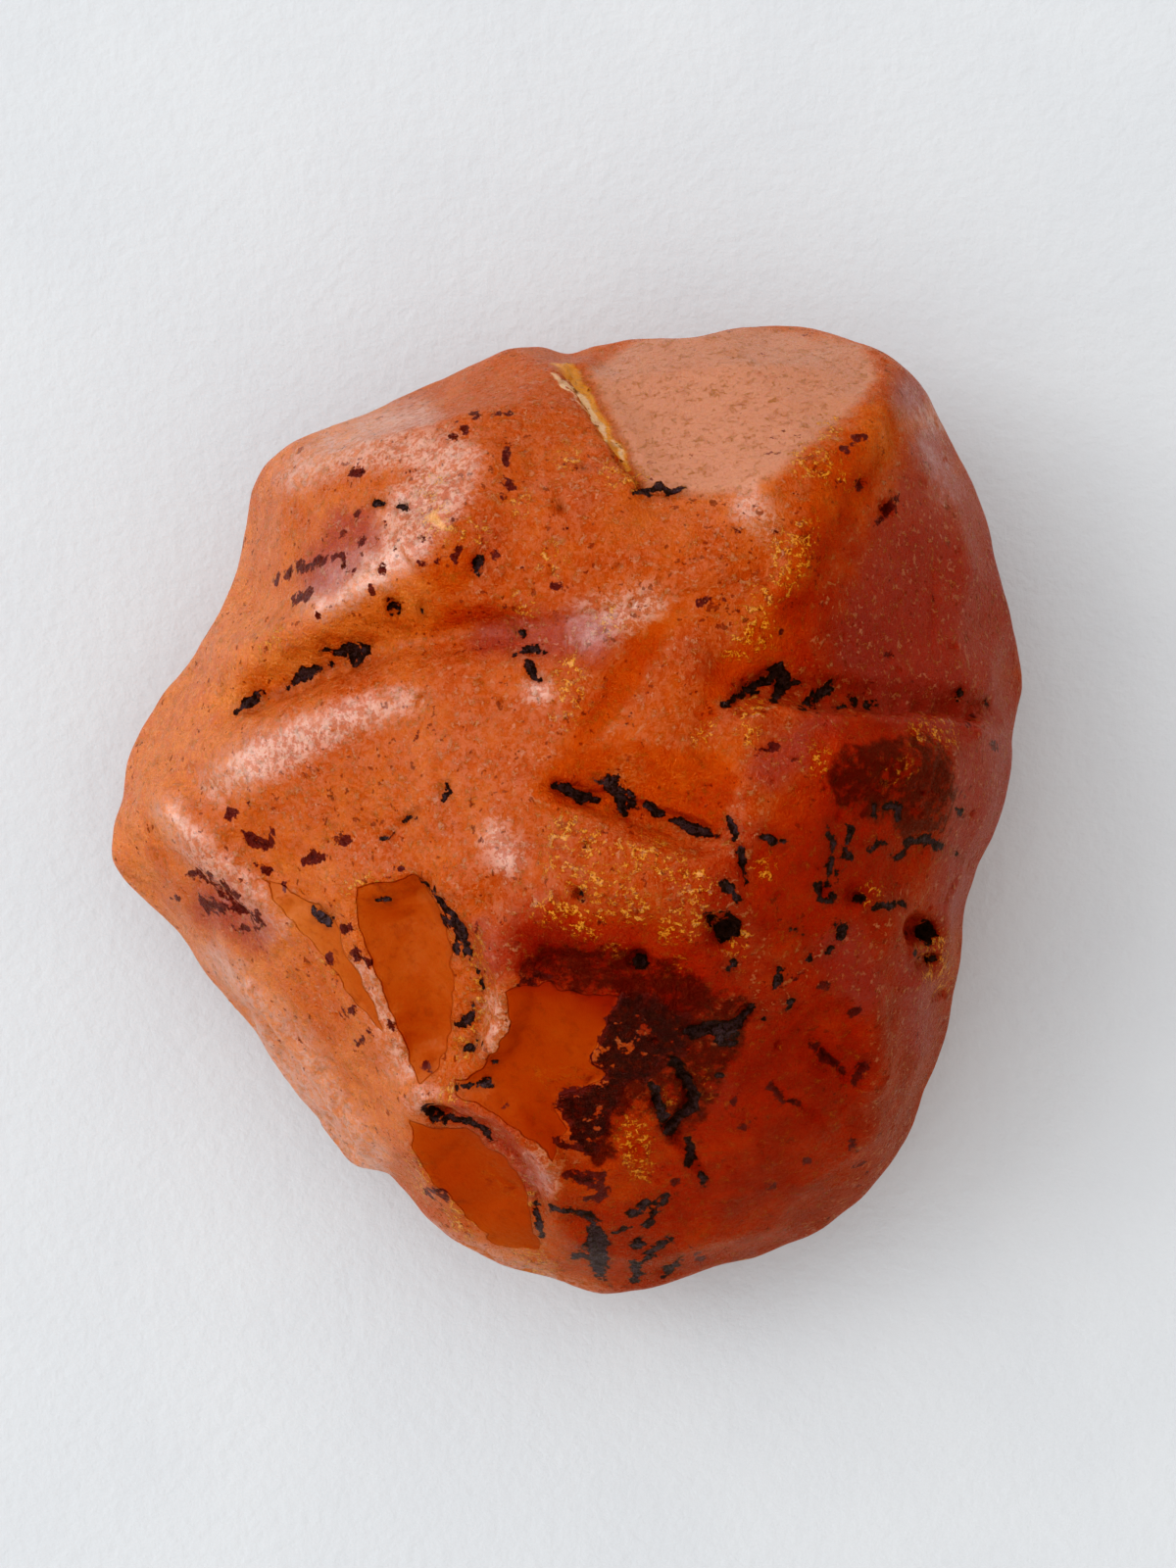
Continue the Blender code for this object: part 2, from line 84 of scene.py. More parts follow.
# Black and slate-grey dirt, packed in crevices and pits.
SOOT = [
    [(74.2, 94.7, 1.35)], [(72.4, 93.4, 0.5)], [(65.4, 98.0, 0.65)], [(59.2, 91.4, 0.4)],
    # the long valley
    [(24.0, 72.7, 0.2), (25.2, 71.9, 0.55), (26.3, 70.9, 0.4)],
    [(28.4, 70.8, 0.1), (29.9, 70.0, 0.35), (31.0, 69.0, 0.5), (32.2, 68.5, 0.3), (33.8, 68.1, 0.1)],
    [(34.5, 66.5, 0.3), (35.3, 66.3, 0.4)], [(35.9, 66.0, 0.3), (36.4, 66.4, 0.5), (37.4, 66.3, 0.3)],
    [(35.6, 67.7, 0.15), (36.4, 67.6, 0.35), (36.9, 67.3, 0.2)], [(32.5, 66.7, 0.12), (33.3, 66.3, 0.18)],
    # pits of the north lobe
    [(38.4, 51.5, 0.35), (39.0, 51.2, 0.35)], [(40.7, 51.8, 0.15), (41.4, 51.8, 0.3)], [(40.1, 62.0, 0.6)],
    [(43.3, 62.3, 0.25)], [(48.9, 56.9, 0.2), (49.0, 57.8, 0.35), (48.6, 58.6, 0.2)], [(57.2, 51.5, 0.2)],
    [(59.4, 47.6, 0.22)],
    # below the riser
    [(64.9, 50.1, 0.15), (66.3, 50.1, 0.45), (67.4, 49.9, 0.35), (68.1, 50.4, 0.3), (69.1, 50.0, 0.35),
     (69.9, 49.8, 0.12)],
    # crumbly pits in the middle
    [(52.5, 67.0, 0.08), (53.6, 66.4, 0.3), (54.5, 66.2, 0.45), (55.5, 66.6, 0.25)],
    [(54.0, 67.8, 0.25), (54.3, 68.7, 0.35), (55.0, 69.2, 0.2)], [(53.2, 64.5, 0.25)],
    # under the ledge
    [(74.0, 71.7, 0.25), (75.4, 71.1, 0.22), (76.8, 70.1, 0.5), (78.2, 69.2, 0.4), (79.3, 68.4, 0.5),
     (79.4, 67.8, 0.35)],
    [(79.3, 68.4, 0.5), (80.3, 69.4, 0.6), (81.5, 69.8, 0.3), (82.0, 69.6, 0.1)],
    [(80.2, 69.6, 0.6), (79.2, 70.8, 0.5), (78.6, 71.5, 0.25)],
    [(81.8, 71.9, 0.3), (83.2, 71.3, 0.5), (84.4, 70.3, 0.4), (84.9, 69.6, 0.12)], [(83.2, 72.3, 0.28)],
    [(85.4, 72.3, 0.12), (86.1, 72.0, 0.22)], [(86.8, 71.7, 0.18), (87.5, 71.7, 0.18)],
    [(88.2, 71.8, 0.18), (89.5, 71.8, 0.22)], [(98.0, 70.5, 0.3), (98.0, 71.1, 0.38)],
    [(100.4, 71.8, 0.32)],
    # the slot
    [(56.5, 80.2, 0.4), (57.8, 80.6, 0.65), (59.2, 81.2, 0.5), (60.7, 81.4, 0.25)],
    [(60.8, 79.6, 0.3), (62.0, 79.5, 0.5), (63.1, 79.3, 0.3)],
    [(62.0, 79.8, 0.5), (63.2, 81.2, 0.6), (63.9, 82.5, 0.5)], [(64.0, 81.0, 0.35), (64.8, 82.0, 0.3)],
    [(65.6, 82.3, 0.3), (66.5, 82.5, 0.6), (67.4, 83.0, 0.4)],
    [(67.9, 83.9, 0.25), (69.5, 84.1, 0.45), (70.8, 84.5, 0.6), (72.2, 84.9, 0.45), (73.1, 85.3, 0.15)],
    # streaks past the slot's end
    [(74.5, 83.8, 0.22), (75.2, 84.9, 0.3)],
    [(75.0, 85.8, 0.25), (75.6, 87.2, 0.32), (76.0, 88.5, 0.38), (76.1, 90.0, 0.15)],
    [(77.8, 85.5, 0.28), (79.0, 85.7, 0.38), (80.4, 85.6, 0.12)],
    [(73.5, 89.9, 0.2), (74.0, 90.8, 0.4), (74.8, 91.6, 0.42)], [(74.6, 98.2, 0.18), (74.7, 99.4, 0.25)],
    [(79.6, 98.8, 0.25), (79.4, 99.8, 0.45), (79.0, 101.2, 0.25)],
    # the block in the east
    [(84.6, 84.0, 0.16), (84.8, 86.0, 0.18), (84.7, 88.0, 0.24), (84.4, 89.2, 0.16)], [(85.4, 89.0, 0.3)],
    [(83.6, 90.4, 0.2), (83.7, 91.7, 0.28), (84.6, 91.9, 0.2), (84.9, 90.8, 0.2), (84.2, 90.2, 0.18)],
    [(86.8, 84.2, 0.2), (86.6, 85.8, 0.22), (86.5, 87.3, 0.42), (86.9, 87.8, 0.15)],
    [(88.3, 86.4, 0.16), (89.3, 86.2, 0.28), (90.1, 86.2, 0.14)], [(91.5, 87.3, 0.3), (92.2, 87.2, 0.2)],
    [(90.5, 82.4, 0.35), (91.5, 82.6, 0.55), (91.6, 83.6, 0.4)], [(88.9, 82.2, 0.2), (89.3, 83.3, 0.2)],
    [(92.8, 85.6, 0.35), (94.0, 85.8, 0.5), (95.2, 85.9, 0.45), (96.1, 86.7, 0.15)], [(98.0, 83.2, 0.3)],
    [(97.7, 87.3, 0.28)], [(87.2, 91.8, 0.42), (87.9, 91.5, 0.38)],
    [(88.8, 92.9, 0.12), (90.0, 92.5, 0.28), (91.0, 92.3, 0.22), (92.2, 92.1, 0.15)],
    [(85.4, 95.6, 0.28), (85.9, 94.6, 0.32)], [(84.7, 97.2, 0.32)], [(82.5, 97.6, 0.26)],
    [(80.6, 102.2, 0.38)], [(78.0, 104.0, 0.3)], [(80.4, 94.8, 0.14), (81.5, 95.2, 0.1)],
    # the hollow under the block
    [(94.1, 94.4, 0.7), (94.4, 95.7, 0.75)], [(94.9, 97.8, 0.5)], [(93.4, 97.4, 0.3)],
    # the brow of the south face, and the crumbly patch below it
    [(70.6, 105.4, 0.5), (72.0, 105.0, 0.75), (73.6, 105.1, 0.85), (74.6, 104.9, 0.75), (75.6, 103.7, 0.5),
     (76.8, 102.7, 0.25)],
    [(73.4, 106.0, 0.5), (74.7, 106.3, 0.25)],
    [(68.6, 108.2, 0.35), (69.6, 109.4, 0.5), (70.4, 110.8, 0.4), (70.9, 112.4, 0.55), (69.8, 113.6, 0.55),
     (68.6, 114.8, 0.65), (68.0, 115.7, 0.3)],
    [(66.6, 110.6, 0.3), (67.2, 112.2, 0.45), (67.8, 114.0, 0.5)],
    [(70.2, 116.4, 0.35), (70.4, 118.4, 0.45)], [(71.4, 119.4, 0.3), (71.9, 120.6, 0.4)],
    [(73.4, 109.8, 0.35)],
    # the south rim
    [(56.4, 123.3, 0.22), (57.6, 123.7, 0.28), (58.8, 123.6, 0.2), (60.0, 124.0, 0.3), (60.8, 124.9, 0.4)],
    [(60.7, 125.7, 0.85), (61.0, 127.0, 1.15), (61.1, 128.6, 0.9), (61.2, 129.8, 0.55)],
    [(58.4, 128.2, 0.2), (59.5, 127.9, 0.3)], [(64.4, 123.8, 0.4), (65.4, 123.4, 0.5), (66.3, 122.6, 0.2)],
    [(66.7, 124.0, 0.2), (67.2, 123.0, 0.25), (67.8, 122.3, 0.35)],
    [(65.8, 125.2, 0.25), (66.6, 124.5, 0.2)],
    [(62.4, 126.0, 0.1), (63.4, 125.6, 0.18), (64.4, 125.3, 0.12)],
    [(64.6, 127.0, 0.3), (65.4, 126.7, 0.4)],
    [(66.0, 128.3, 0.3), (67.2, 127.2, 0.42), (68.3, 126.3, 0.25)],
    [(64.8, 128.8, 0.4), (65.1, 130.4, 0.5)],
    [(67.6, 129.9, 0.3), (68.4, 129.4, 0.28), (69.5, 128.8, 0.12)],
    # the upper scar's groove
    [(42.6, 89.6, 0.12), (43.3, 90.2, 0.18)],
    [(43.9, 90.7, 0.16), (45.0, 91.8, 0.32), (46.2, 93.2, 0.45), (46.9, 94.8, 0.55), (47.6, 96.4, 0.45),
     (47.8, 97.7, 0.25)],
    [(45.4, 93.7, 0.35), (46.0, 94.4, 0.35)], [(46.5, 96.8, 0.4), (46.7, 97.6, 0.25)],
    [(48.8, 98.8, 0.12), (49.1, 99.8, 0.14), (49.3, 101.0, 0.1)],
    [(46.8, 104.5, 0.26), (47.7, 104.0, 0.4), (48.3, 102.8, 0.3)],
    [(47.4, 107.1, 0.16), (48.3, 106.8, 0.42)],
    # between the scars, and the lower scar
    [(46.6, 110.9, 0.22), (47.8, 110.6, 0.28)], [(48.8, 110.8, 0.18), (49.8, 110.4, 0.45)],
    [(50.4, 108.5, 0.28)],
    [(43.6, 113.0, 0.5), (44.6, 114.0, 0.5), (45.8, 114.1, 0.3), (47.4, 114.2, 0.16), (48.8, 114.8, 0.2),
     (49.7, 115.7, 0.3)],
    [(54.8, 122.0, 0.22), (54.9, 123.4, 0.32), (55.1, 124.8, 0.42), (55.3, 125.9, 0.35)],
    # the west plateau
    [(32.0, 92.6, 0.3), (32.8, 93.4, 0.6), (33.4, 93.9, 0.45)], [(38.6, 91.9, 0.28), (39.6, 91.8, 0.32)],
    [(41.4, 83.6, 0.12), (42.2, 83.1, 0.25)], [(39.0, 85.7, 0.12), (39.6, 85.3, 0.22)],
    [(45.1, 81.5, 0.2), (45.7, 80.3, 0.3)],
]

# Purple-brown stains, thinner than the dirt.
PLUM = [
    [(34.6, 57.0, 0.2), (35.8, 58.2, 0.25)], [(30.4, 61.2, 0.3), (31.6, 60.4, 0.3)], [(32.4, 62.4, 0.2)],
    [(37.0, 55.4, 0.3)], [(39.4, 53.6, 0.25)], [(40.8, 56.0, 0.2)], [(43.6, 54.8, 0.2)],
    [(38.0, 60.2, 0.2)], [(50.4, 56.8, 0.35)], [(51.4, 50.8, 0.3)], [(46.4, 44.6, 0.2)],
    [(42.0, 47.8, 0.2)], [(33.2, 55.0, 0.15)],
    [(28.6, 59.3, 0.2), (29.9, 58.0, 0.3), (31.5, 57.6, 0.35), (33.0, 57.0, 0.3), (34.0, 57.3, 0.15)],
    [(36.0, 48.2, 0.25), (36.8, 48.0, 0.35)], [(46.2, 56.6, 0.4), (46.8, 56.2, 0.2)], [(44.7, 57.2, 0.22)],
    [(46.2, 58.5, 0.2)], [(47.2, 43.8, 0.32)], [(48.3, 42.2, 0.1), (49.6, 42.1, 0.12)],
    [(51.0, 42.2, 0.15), (51.9, 42.0, 0.2)], [(52.0, 45.6, 0.25), (51.8, 46.8, 0.2)],
    [(51.4, 49.0, 0.25), (52.2, 49.6, 0.3)], [(56.9, 59.9, 0.32)], [(57.6, 54.1, 0.26)],
    [(42.9, 57.4, 0.2)], [(36.4, 52.2, 0.2)], [(53.0, 58.2, 0.18)], [(38.9, 58.2, 0.3)],
    [(23.6, 83.2, 0.35)], [(24.8, 84.8, 0.15), (26.3, 86.0, 0.5), (27.4, 86.4, 0.35), (27.9, 84.8, 0.1)],
    [(26.0, 88.2, 0.22), (27.1, 88.6, 0.12)], [(31.0, 87.9, 0.16), (32.2, 87.5, 0.42), (33.0, 87.6, 0.15)],
    [(34.8, 85.9, 0.22), (35.4, 85.7, 0.2)], [(25.4, 82.0, 0.18)], [(28.6, 90.2, 0.2)], [(35.3, 94.8, 0.3)],
    [(36.3, 97.4, 0.5), (37.3, 98.2, 0.16)], [(33.6, 97.8, 0.22)], [(35.2, 103.3, 0.2), (36.2, 103.2, 0.3)],
    [(37.5, 105.3, 0.2)], [(39.8, 104.5, 0.2), (40.0, 106.4, 0.32)], [(36.7, 106.3, 0.26)],
    [(20.5, 91.5, 0.2), (22.2, 92.8, 0.4), (23.6, 92.6, 0.2)], [(24.9, 94.9, 0.3), (26.1, 94.6, 0.2)],
    [(18.0, 91.8, 0.2)], [(20.0, 89.0, 0.3), (23.0, 91.0, 0.3), (26.0, 93.6, 0.3)],
    [(77.8, 76.7, 0.42), (78.7, 76.3, 0.55)], [(81.0, 77.4, 0.26)], [(99.0, 73.5, 0.3)],
    [(101.4, 76.0, 0.26)], [(86.2, 45.9, 0.25), (87.0, 45.0, 0.16), (88.0, 44.7, 0.1)], [(87.8, 49.5, 0.2)],
    [(90.0, 52.5, 0.28), (90.2, 51.6, 0.2), (91.2, 51.7, 0.26), (91.7, 50.4, 0.14)], [(79.8, 64.8, 0.22)],
    [(79.2, 54.1, 0.26)], [(75.2, 54.0, 0.18)], [(71.3, 61.6, 0.25), (72.7, 61.5, 0.2)],
    [(90.8, 66.6, 0.2)], [(58.4, 120.0, 0.45), (60.4, 120.6, 0.55), (61.6, 120.2, 0.25)],
    [(60.0, 122.3, 0.5), (61.7, 121.8, 0.25)],
    [(43.6, 121.4, 0.25), (45.0, 121.8, 0.38), (45.7, 122.7, 0.25)], [(55.4, 102.1, 0.24)],
    [(51.7, 112.9, 0.26)], [(43.4, 108.9, 0.22)],
    [(53.0, 100.1, 0.2), (54.8, 99.6, 0.45), (56.2, 99.9, 0.2)], [(40.9, 88.7, 0.18)],
    [(83.2, 106.6, 0.3), (84.6, 108.0, 0.38), (86.0, 109.4, 0.3)],
    [(87.0, 110.3, 0.35), (87.8, 108.8, 0.42), (88.5, 107.9, 0.2)],
    [(78.9, 110.9, 0.25), (80.6, 112.4, 0.3), (81.7, 112.9, 0.16)],
    [(86.8, 103.6, 0.2), (87.6, 102.8, 0.22)], [(82.5, 118.7, 0.32)], [(87.0, 116.7, 0.38)],
    [(87.7, 118.9, 0.35)], [(94.0, 109.3, 0.28)], [(78.7, 120.9, 0.2)], [(63.5, 102.4, 0.2)],
    [(75.0, 112.6, 0.25)], [(76.0, 115.0, 0.25)], [(68.8, 120.6, 0.25)], [(84.2, 100.6, 0.2)],
    [(70.2, 127.3, 0.2)], [(71.4, 128.4, 0.24)], [(74.8, 128.5, 0.2)], [(60.0, 86.0, 0.2)],
    [(80.9, 100.0, 0.2)],
]

# Thick purple-black crust beside the window.
PLUM_CRUST = [
    [(62.9, 101.7), (64.6, 101.0), (66.6, 101.6), (68.6, 102.8), (70.2, 104.2), (70.6, 105.8), (69.4, 107.6),
     (67.4, 108.6), (66.4, 110.0), (64.6, 110.3), (63.6, 111.2), (63.2, 112.8), (62.2, 113.6), (61.9, 115.8),
     (61.0, 117.8), (59.6, 118.1), (58.4, 117.0), (57.0, 117.1), (56.6, 116.3), (57.8, 115.8), (58.0, 114.5),
     (57.0, 113.6), (56.4, 112.5), (57.3, 111.6), (59.2, 111.2), (60.6, 110.7), (61.8, 109.9), (61.4, 109.0),
     (60.3, 108.4), (60.8, 107.2), (61.3, 105.8), (62.1, 104.4), (62.5, 103.0)],
]

# Dark red-brown crust.
OXBLOOD = [
    [(85.2, 76.9), (88.0, 75.8), (92.0, 75.3), (95.8, 75.6), (97.2, 77.6), (97.0, 81.6), (96.2, 84.6),
     (93.2, 85.0), (90.4, 84.2), (87.4, 83.2), (85.0, 82.2), (84.4, 79.6)],
    [(53.0, 99.6), (54.0, 97.0), (58.0, 96.4), (64.0, 97.0), (69.0, 98.0), (73.0, 99.4), (72.0, 102.0),
     (66.0, 101.6), (62.9, 101.9), (57.5, 101.2), (56.0, 100.2), (54.0, 100.4)],
    [(66.0, 101.4), (71.0, 101.0), (76.0, 101.6), (77.0, 104.0), (75.4, 107.0), (73.6, 110.6),
     (71.0, 114.6), (68.4, 116.6), (66.6, 114.0), (64.0, 113.6), (62.4, 118.0), (60.4, 119.4),
     (61.4, 114.4), (63.6, 110.6), (67.0, 108.4), (70.2, 105.6)],
]

# Bare windows, where the crust has flaked off smooth amber: their edges stand up.
BARE = [
    # the south window
    [(51.6, 101.2), (53.4, 100.3), (55.0, 100.6), (56.2, 100.2), (57.4, 101.0), (60.0, 101.4),
     (62.9, 101.7), (62.3, 104.0), (61.2, 106.0), (60.6, 107.4), (60.2, 108.4), (61.5, 109.2),
     (61.7, 109.9), (60.4, 110.8), (58.6, 111.3), (57.0, 111.8), (56.4, 112.8), (57.2, 114.2),
     (57.8, 115.2), (56.8, 116.2), (56.5, 118.6), (54.2, 116.2), (51.6, 114.4), (48.6, 112.6),
     (46.4, 111.6), (46.2, 110.2), (48.4, 109.6), (50.4, 107.4), (52.4, 104.2)],
    # the upper scar's floor
    [(36.3, 90.6), (38.4, 90.2), (40.2, 90.1), (42.3, 89.2), (44.0, 91.4), (45.2, 93.2), (45.8, 96.0),
     (46.2, 99.0), (46.3, 102.0), (46.0, 105.0), (45.2, 108.0), (43.8, 109.8), (42.6, 110.6), (41.6, 107.8),
     (40.4, 104.5), (39.2, 101.4), (37.6, 97.6), (36.6, 94.0)],
    # the lower scar's floor
    [(41.9, 114.2), (43.6, 114.9), (45.8, 115.0), (47.8, 115.2), (49.8, 116.8), (52.2, 118.8),
     (53.8, 121.6), (54.2, 124.6), (55.2, 127.6), (52.0, 127.4), (49.0, 125.8), (46.6, 122.6),
     (43.6, 120.2), (42.2, 117.0)],
    # a sliver west of the scars
    [(26.8, 89.6), (29.2, 90.6), (31.0, 91.6), (32.6, 92.2), (34.4, 94.4), (35.4, 97.4), (37.2, 100.6),
     (38.6, 103.4), (39.2, 105.6), (37.4, 103.2), (35.2, 100.6), (32.8, 97.4), (30.2, 94.6), (28.0, 92.0)],
]

# Saturated places with no pale bloom and no painted sheen: worn crust, and faces turned from the window. Their
# edges are soft.
CLEAN = [
    # the face between the north shoulder and the long valley
    [(21.6, 71.6), (25.0, 69.6), (28.0, 67.0), (32.0, 64.8), (36.0, 62.8), (38.8, 60.8), (41.0, 60.0),
     (43.0, 61.4), (47.0, 61.6), (52.0, 62.0), (54.4, 62.8), (50.0, 63.2), (45.0, 64.3), (40.0, 65.6),
     (36.0, 66.4), (33.0, 67.6), (29.0, 69.6), (26.0, 71.0), (23.0, 72.6)],
    # above the slot
    [(54.8, 81.0), (55.4, 78.6), (57.8, 76.8), (62.0, 76.0), (66.0, 76.2), (70.0, 76.4), (73.6, 76.8),
     (75.4, 79.4), (74.4, 82.4), (73.4, 85.4), (69.0, 84.6), (64.0, 83.4), (60.0, 82.4), (56.4, 82.0)],
    # down the spine
    [(90.3, 39.6), (91.6, 42.0), (91.4, 45.0), (89.8, 49.0), (87.2, 53.0), (84.8, 57.0), (83.2, 61.0),
     (82.2, 65.0), (83.2, 68.2), (79.6, 67.8), (76.0, 69.2), (73.0, 71.8), (71.6, 75.0), (71.4, 71.0),
     (73.2, 67.0), (76.6, 63.8), (79.4, 61.0), (80.8, 57.0), (82.2, 52.0), (83.6, 48.4), (86.0, 45.0),
     (88.2, 42.0)],
    # a band through the middle
    [(66.4, 63.6), (69.4, 61.8), (68.0, 65.4), (65.4, 69.4), (62.4, 73.4), (59.4, 76.8), (56.4, 79.6),
     (57.4, 76.6), (59.2, 73.0), (61.6, 69.2), (63.8, 66.0)],
    # the south face
    [(62.6, 113.0), (66.0, 111.0), (71.0, 109.0), (75.0, 106.8), (79.0, 104.0), (83.0, 101.4),
     (86.6, 101.6), (88.4, 105.4), (88.0, 110.0), (87.6, 115.0), (86.4, 120.0), (84.0, 124.4),
     (79.0, 127.0), (73.0, 129.0), (66.0, 131.6), (60.0, 131.8), (56.6, 129.6), (56.4, 124.0),
     (57.4, 119.4), (60.0, 118.6)],
    # round the block's patch
    [(82.6, 74.6), (88.0, 73.8), (94.0, 74.2), (97.2, 75.4), (97.2, 80.0), (96.6, 85.0), (94.0, 88.6),
     (90.0, 92.0), (85.0, 94.6), (79.4, 97.0), (76.6, 93.0), (77.0, 87.0), (79.4, 82.0), (82.6, 79.0)],
    # the dark slope above the window
    [(52.8, 95.0), (56.0, 93.0), (62.0, 93.4), (68.0, 94.0), (73.0, 97.0), (76.0, 101.0), (70.0, 104.0),
     (64.0, 102.0), (57.4, 101.2), (53.2, 99.0)],
    # a lick on the north lobe's shoulder
    [(43.4, 58.6), (47.6, 56.4), (49.4, 57.0), (48.6, 59.6), (45.0, 61.0), (42.0, 60.4)],
]

# Crumbly yellow flecks: strokes of their denser places.
FLECKS = [
    [(47.4, 95.4, 0.1), (49.2, 99.6, 0.1), (49.0, 103.4, 0.1), (47.2, 107.4, 0.1)],
    [(55.0, 109.9, 0.1), (60.0, 109.6, 0.1)], [(82.4, 47.3, 0.8), (83.8, 47.5, 0.7)],
    [(82.0, 54.2, 0.8), (80.6, 56.2, 1.2), (81.6, 57.4, 0.6)], [(80.4, 57.2, 0.8), (79.6, 59.4, 0.7)],
    [(78.0, 60.8, 0.8), (77.4, 62.6, 0.5)], [(77.4, 64.6, 0.9), (75.4, 65.8, 0.6)], [(64.5, 48.9, 0.6)],
    [(62.2, 48.6, 0.5)], [(58.0, 47.0, 0.3)], [(83.4, 77.6, 0.6)], [(94.3, 74.8, 0.5), (96.4, 74.8, 0.4)],
    [(92.2, 78.5, 0.6), (90.2, 79.0, 0.3)], [(76.6, 72.4, 0.5), (76.4, 74.4, 0.5)], [(72.0, 74.6, 0.5)],
    [(58.0, 85.0, 1.2), (60.4, 86.4, 1.0)], [(57.0, 88.0, 0.8), (62.0, 91.0, 1.0), (65.0, 92.6, 0.9)],
    [(62.4, 87.4, 0.6), (66.4, 86.8, 0.6)], [(69.4, 94.4, 1.2), (71.4, 93.6, 0.7)],
    [(68.6, 88.6, 0.8), (71.6, 90.0, 0.8)], [(60.0, 94.0, 0.8), (56.0, 92.6, 0.7)], [(68.6, 99.2, 0.6)],
    [(63.4, 97.4, 0.4)], [(75.0, 96.0, 0.6)], [(64.8, 116.6, 0.9), (65.4, 119.4, 0.5)],
    [(64.4, 114.8, 0.5)], [(71.4, 110.6, 0.7), (70.0, 109.4, 0.5)], [(68.0, 112.6, 0.6)],
    [(50.0, 119.8, 0.2), (52.0, 121.2, 0.2), (53.8, 122.6, 0.2)], [(42.8, 118.6, 0.5), (43.4, 120.8, 0.5)],
    [(46.6, 123.4, 0.4), (47.4, 125.0, 0.4)], [(53.8, 128.6, 0.6), (55.2, 129.2, 0.6)],
    [(46.6, 111.4, 0.4), (45.4, 111.8, 0.3)], [(95.8, 99.8, 0.6), (95.4, 96.6, 0.5)], [(53.0, 51.5, 0.5)],
    [(53.4, 61.6, 0.4)], [(56.2, 57.4, 0.6)], [(62.4, 63.2, 0.6)], [(27.5, 65.2, 0.6)],
    [(36.0, 90.8, 0.3), (38.4, 90.0, 0.3)], [(33.8, 98.0, 0.3)], [(58.4, 68.0, 0.4), (57.8, 72.8, 0.4)],
    [(88.9, 91.2, 0.35)], [(84.6, 43.6, 0.4)], [(86.4, 48.8, 0.3)], [(44.0, 49.6, 0.4)],
    [(44.6, 52.9, 1.2), (45.0, 54.0, 0.7)], [(48.4, 54.4, 0.6)], [(78.0, 89.0, 0.4)],
]

# Painted highlights: the pale granular bloom painted at its whitest where the glare falls, on the lobe, the
# crests and the rims.
PAINTED_GLARE_STROKES = [
    [(46.5, 47.0, 1.6), (44.5, 50.0, 2.6), (41.5, 53.5, 2.2), (40.0, 56.6, 1.6), (35.0, 59.4, 2.0),
     (33.0, 61.2, 1.2)],
    [(22.0, 80.0, 0.8), (26.0, 77.4, 1.6), (30.0, 75.6, 1.5), (35.0, 73.4, 0.8), (42.0, 71.4, 0.3)],
    [(17.5, 83.0, 0.8), (20.0, 86.6, 0.8), (24.0, 90.6, 0.8), (28.0, 94.6, 0.6)], [(55.0, 70.5, 0.6)],
    [(76.4, 51.4, 0.8), (78.0, 53.6, 0.6)], [(50.6, 85.4, 0.8), (51.6, 88.0, 0.6)], [(64.0, 78.6, 0.4)],
    [(60.0, 64.0, 1.6), (66.0, 61.6, 1.2)], [(37.0, 99.4, 0.5), (39.4, 104.0, 0.5), (41.0, 108.6, 0.6)],
    [(50.9, 102.4, 0.5), (51.3, 104.6, 0.8), (50.2, 106.8, 0.4)], [(54.6, 118.6, 0.6), (55.8, 120.4, 0.5)],
    [(43.0, 112.4, 0.6)], [(44.0, 125.8, 0.2), (50.0, 129.0, 0.3), (56.0, 131.2, 0.3), (61.0, 132.0, 0.2)],
    [(22.0, 97.5, 0.4), (30.0, 106.0, 0.6), (34.0, 112.0, 0.6), (38.0, 118.0, 0.6)],
    [(26.0, 105.0, 0.8), (31.0, 111.0, 1.0), (35.0, 116.4, 0.8), (38.0, 119.6, 0.5)],
    [(45.0, 46.2, 1.4), (40.0, 45.6, 1.4), (34.0, 46.0, 1.4), (30.0, 48.4, 1.0)],
    [(43.0, 42.6, 0.8), (37.0, 43.6, 0.8)], [(94.5, 46.0, 0.2), (96.4, 50.6, 0.2)],
    [(93.0, 40.0, 0.3), (95.2, 43.6, 0.2)],
]

# Thin places that pass light, painted lighter as a painted glow: the west flank, the flange and the rims.
THIN_PLACES_PAINTED_GLOW = [
    [(12.0, 86.0, 2.0), (13.4, 80.0, 3.0), (15.6, 74.0, 4.4), (18.6, 69.0, 3.6), (22.6, 63.6, 2.2),
     (25.2, 56.0, 2.0), (26.2, 50.0, 2.0), (31.0, 45.6, 1.6), (38.0, 42.6, 1.2)],
    [(24.4, 104.0, 2.0), (28.2, 109.6, 2.6), (32.4, 114.8, 2.6), (36.4, 119.0, 2.0)],
    [(14.0, 91.0, 1.4), (19.0, 97.4, 1.2)], [(48.0, 128.0, 0.8), (53.0, 130.6, 1.0), (60.0, 132.0, 0.6)],
]
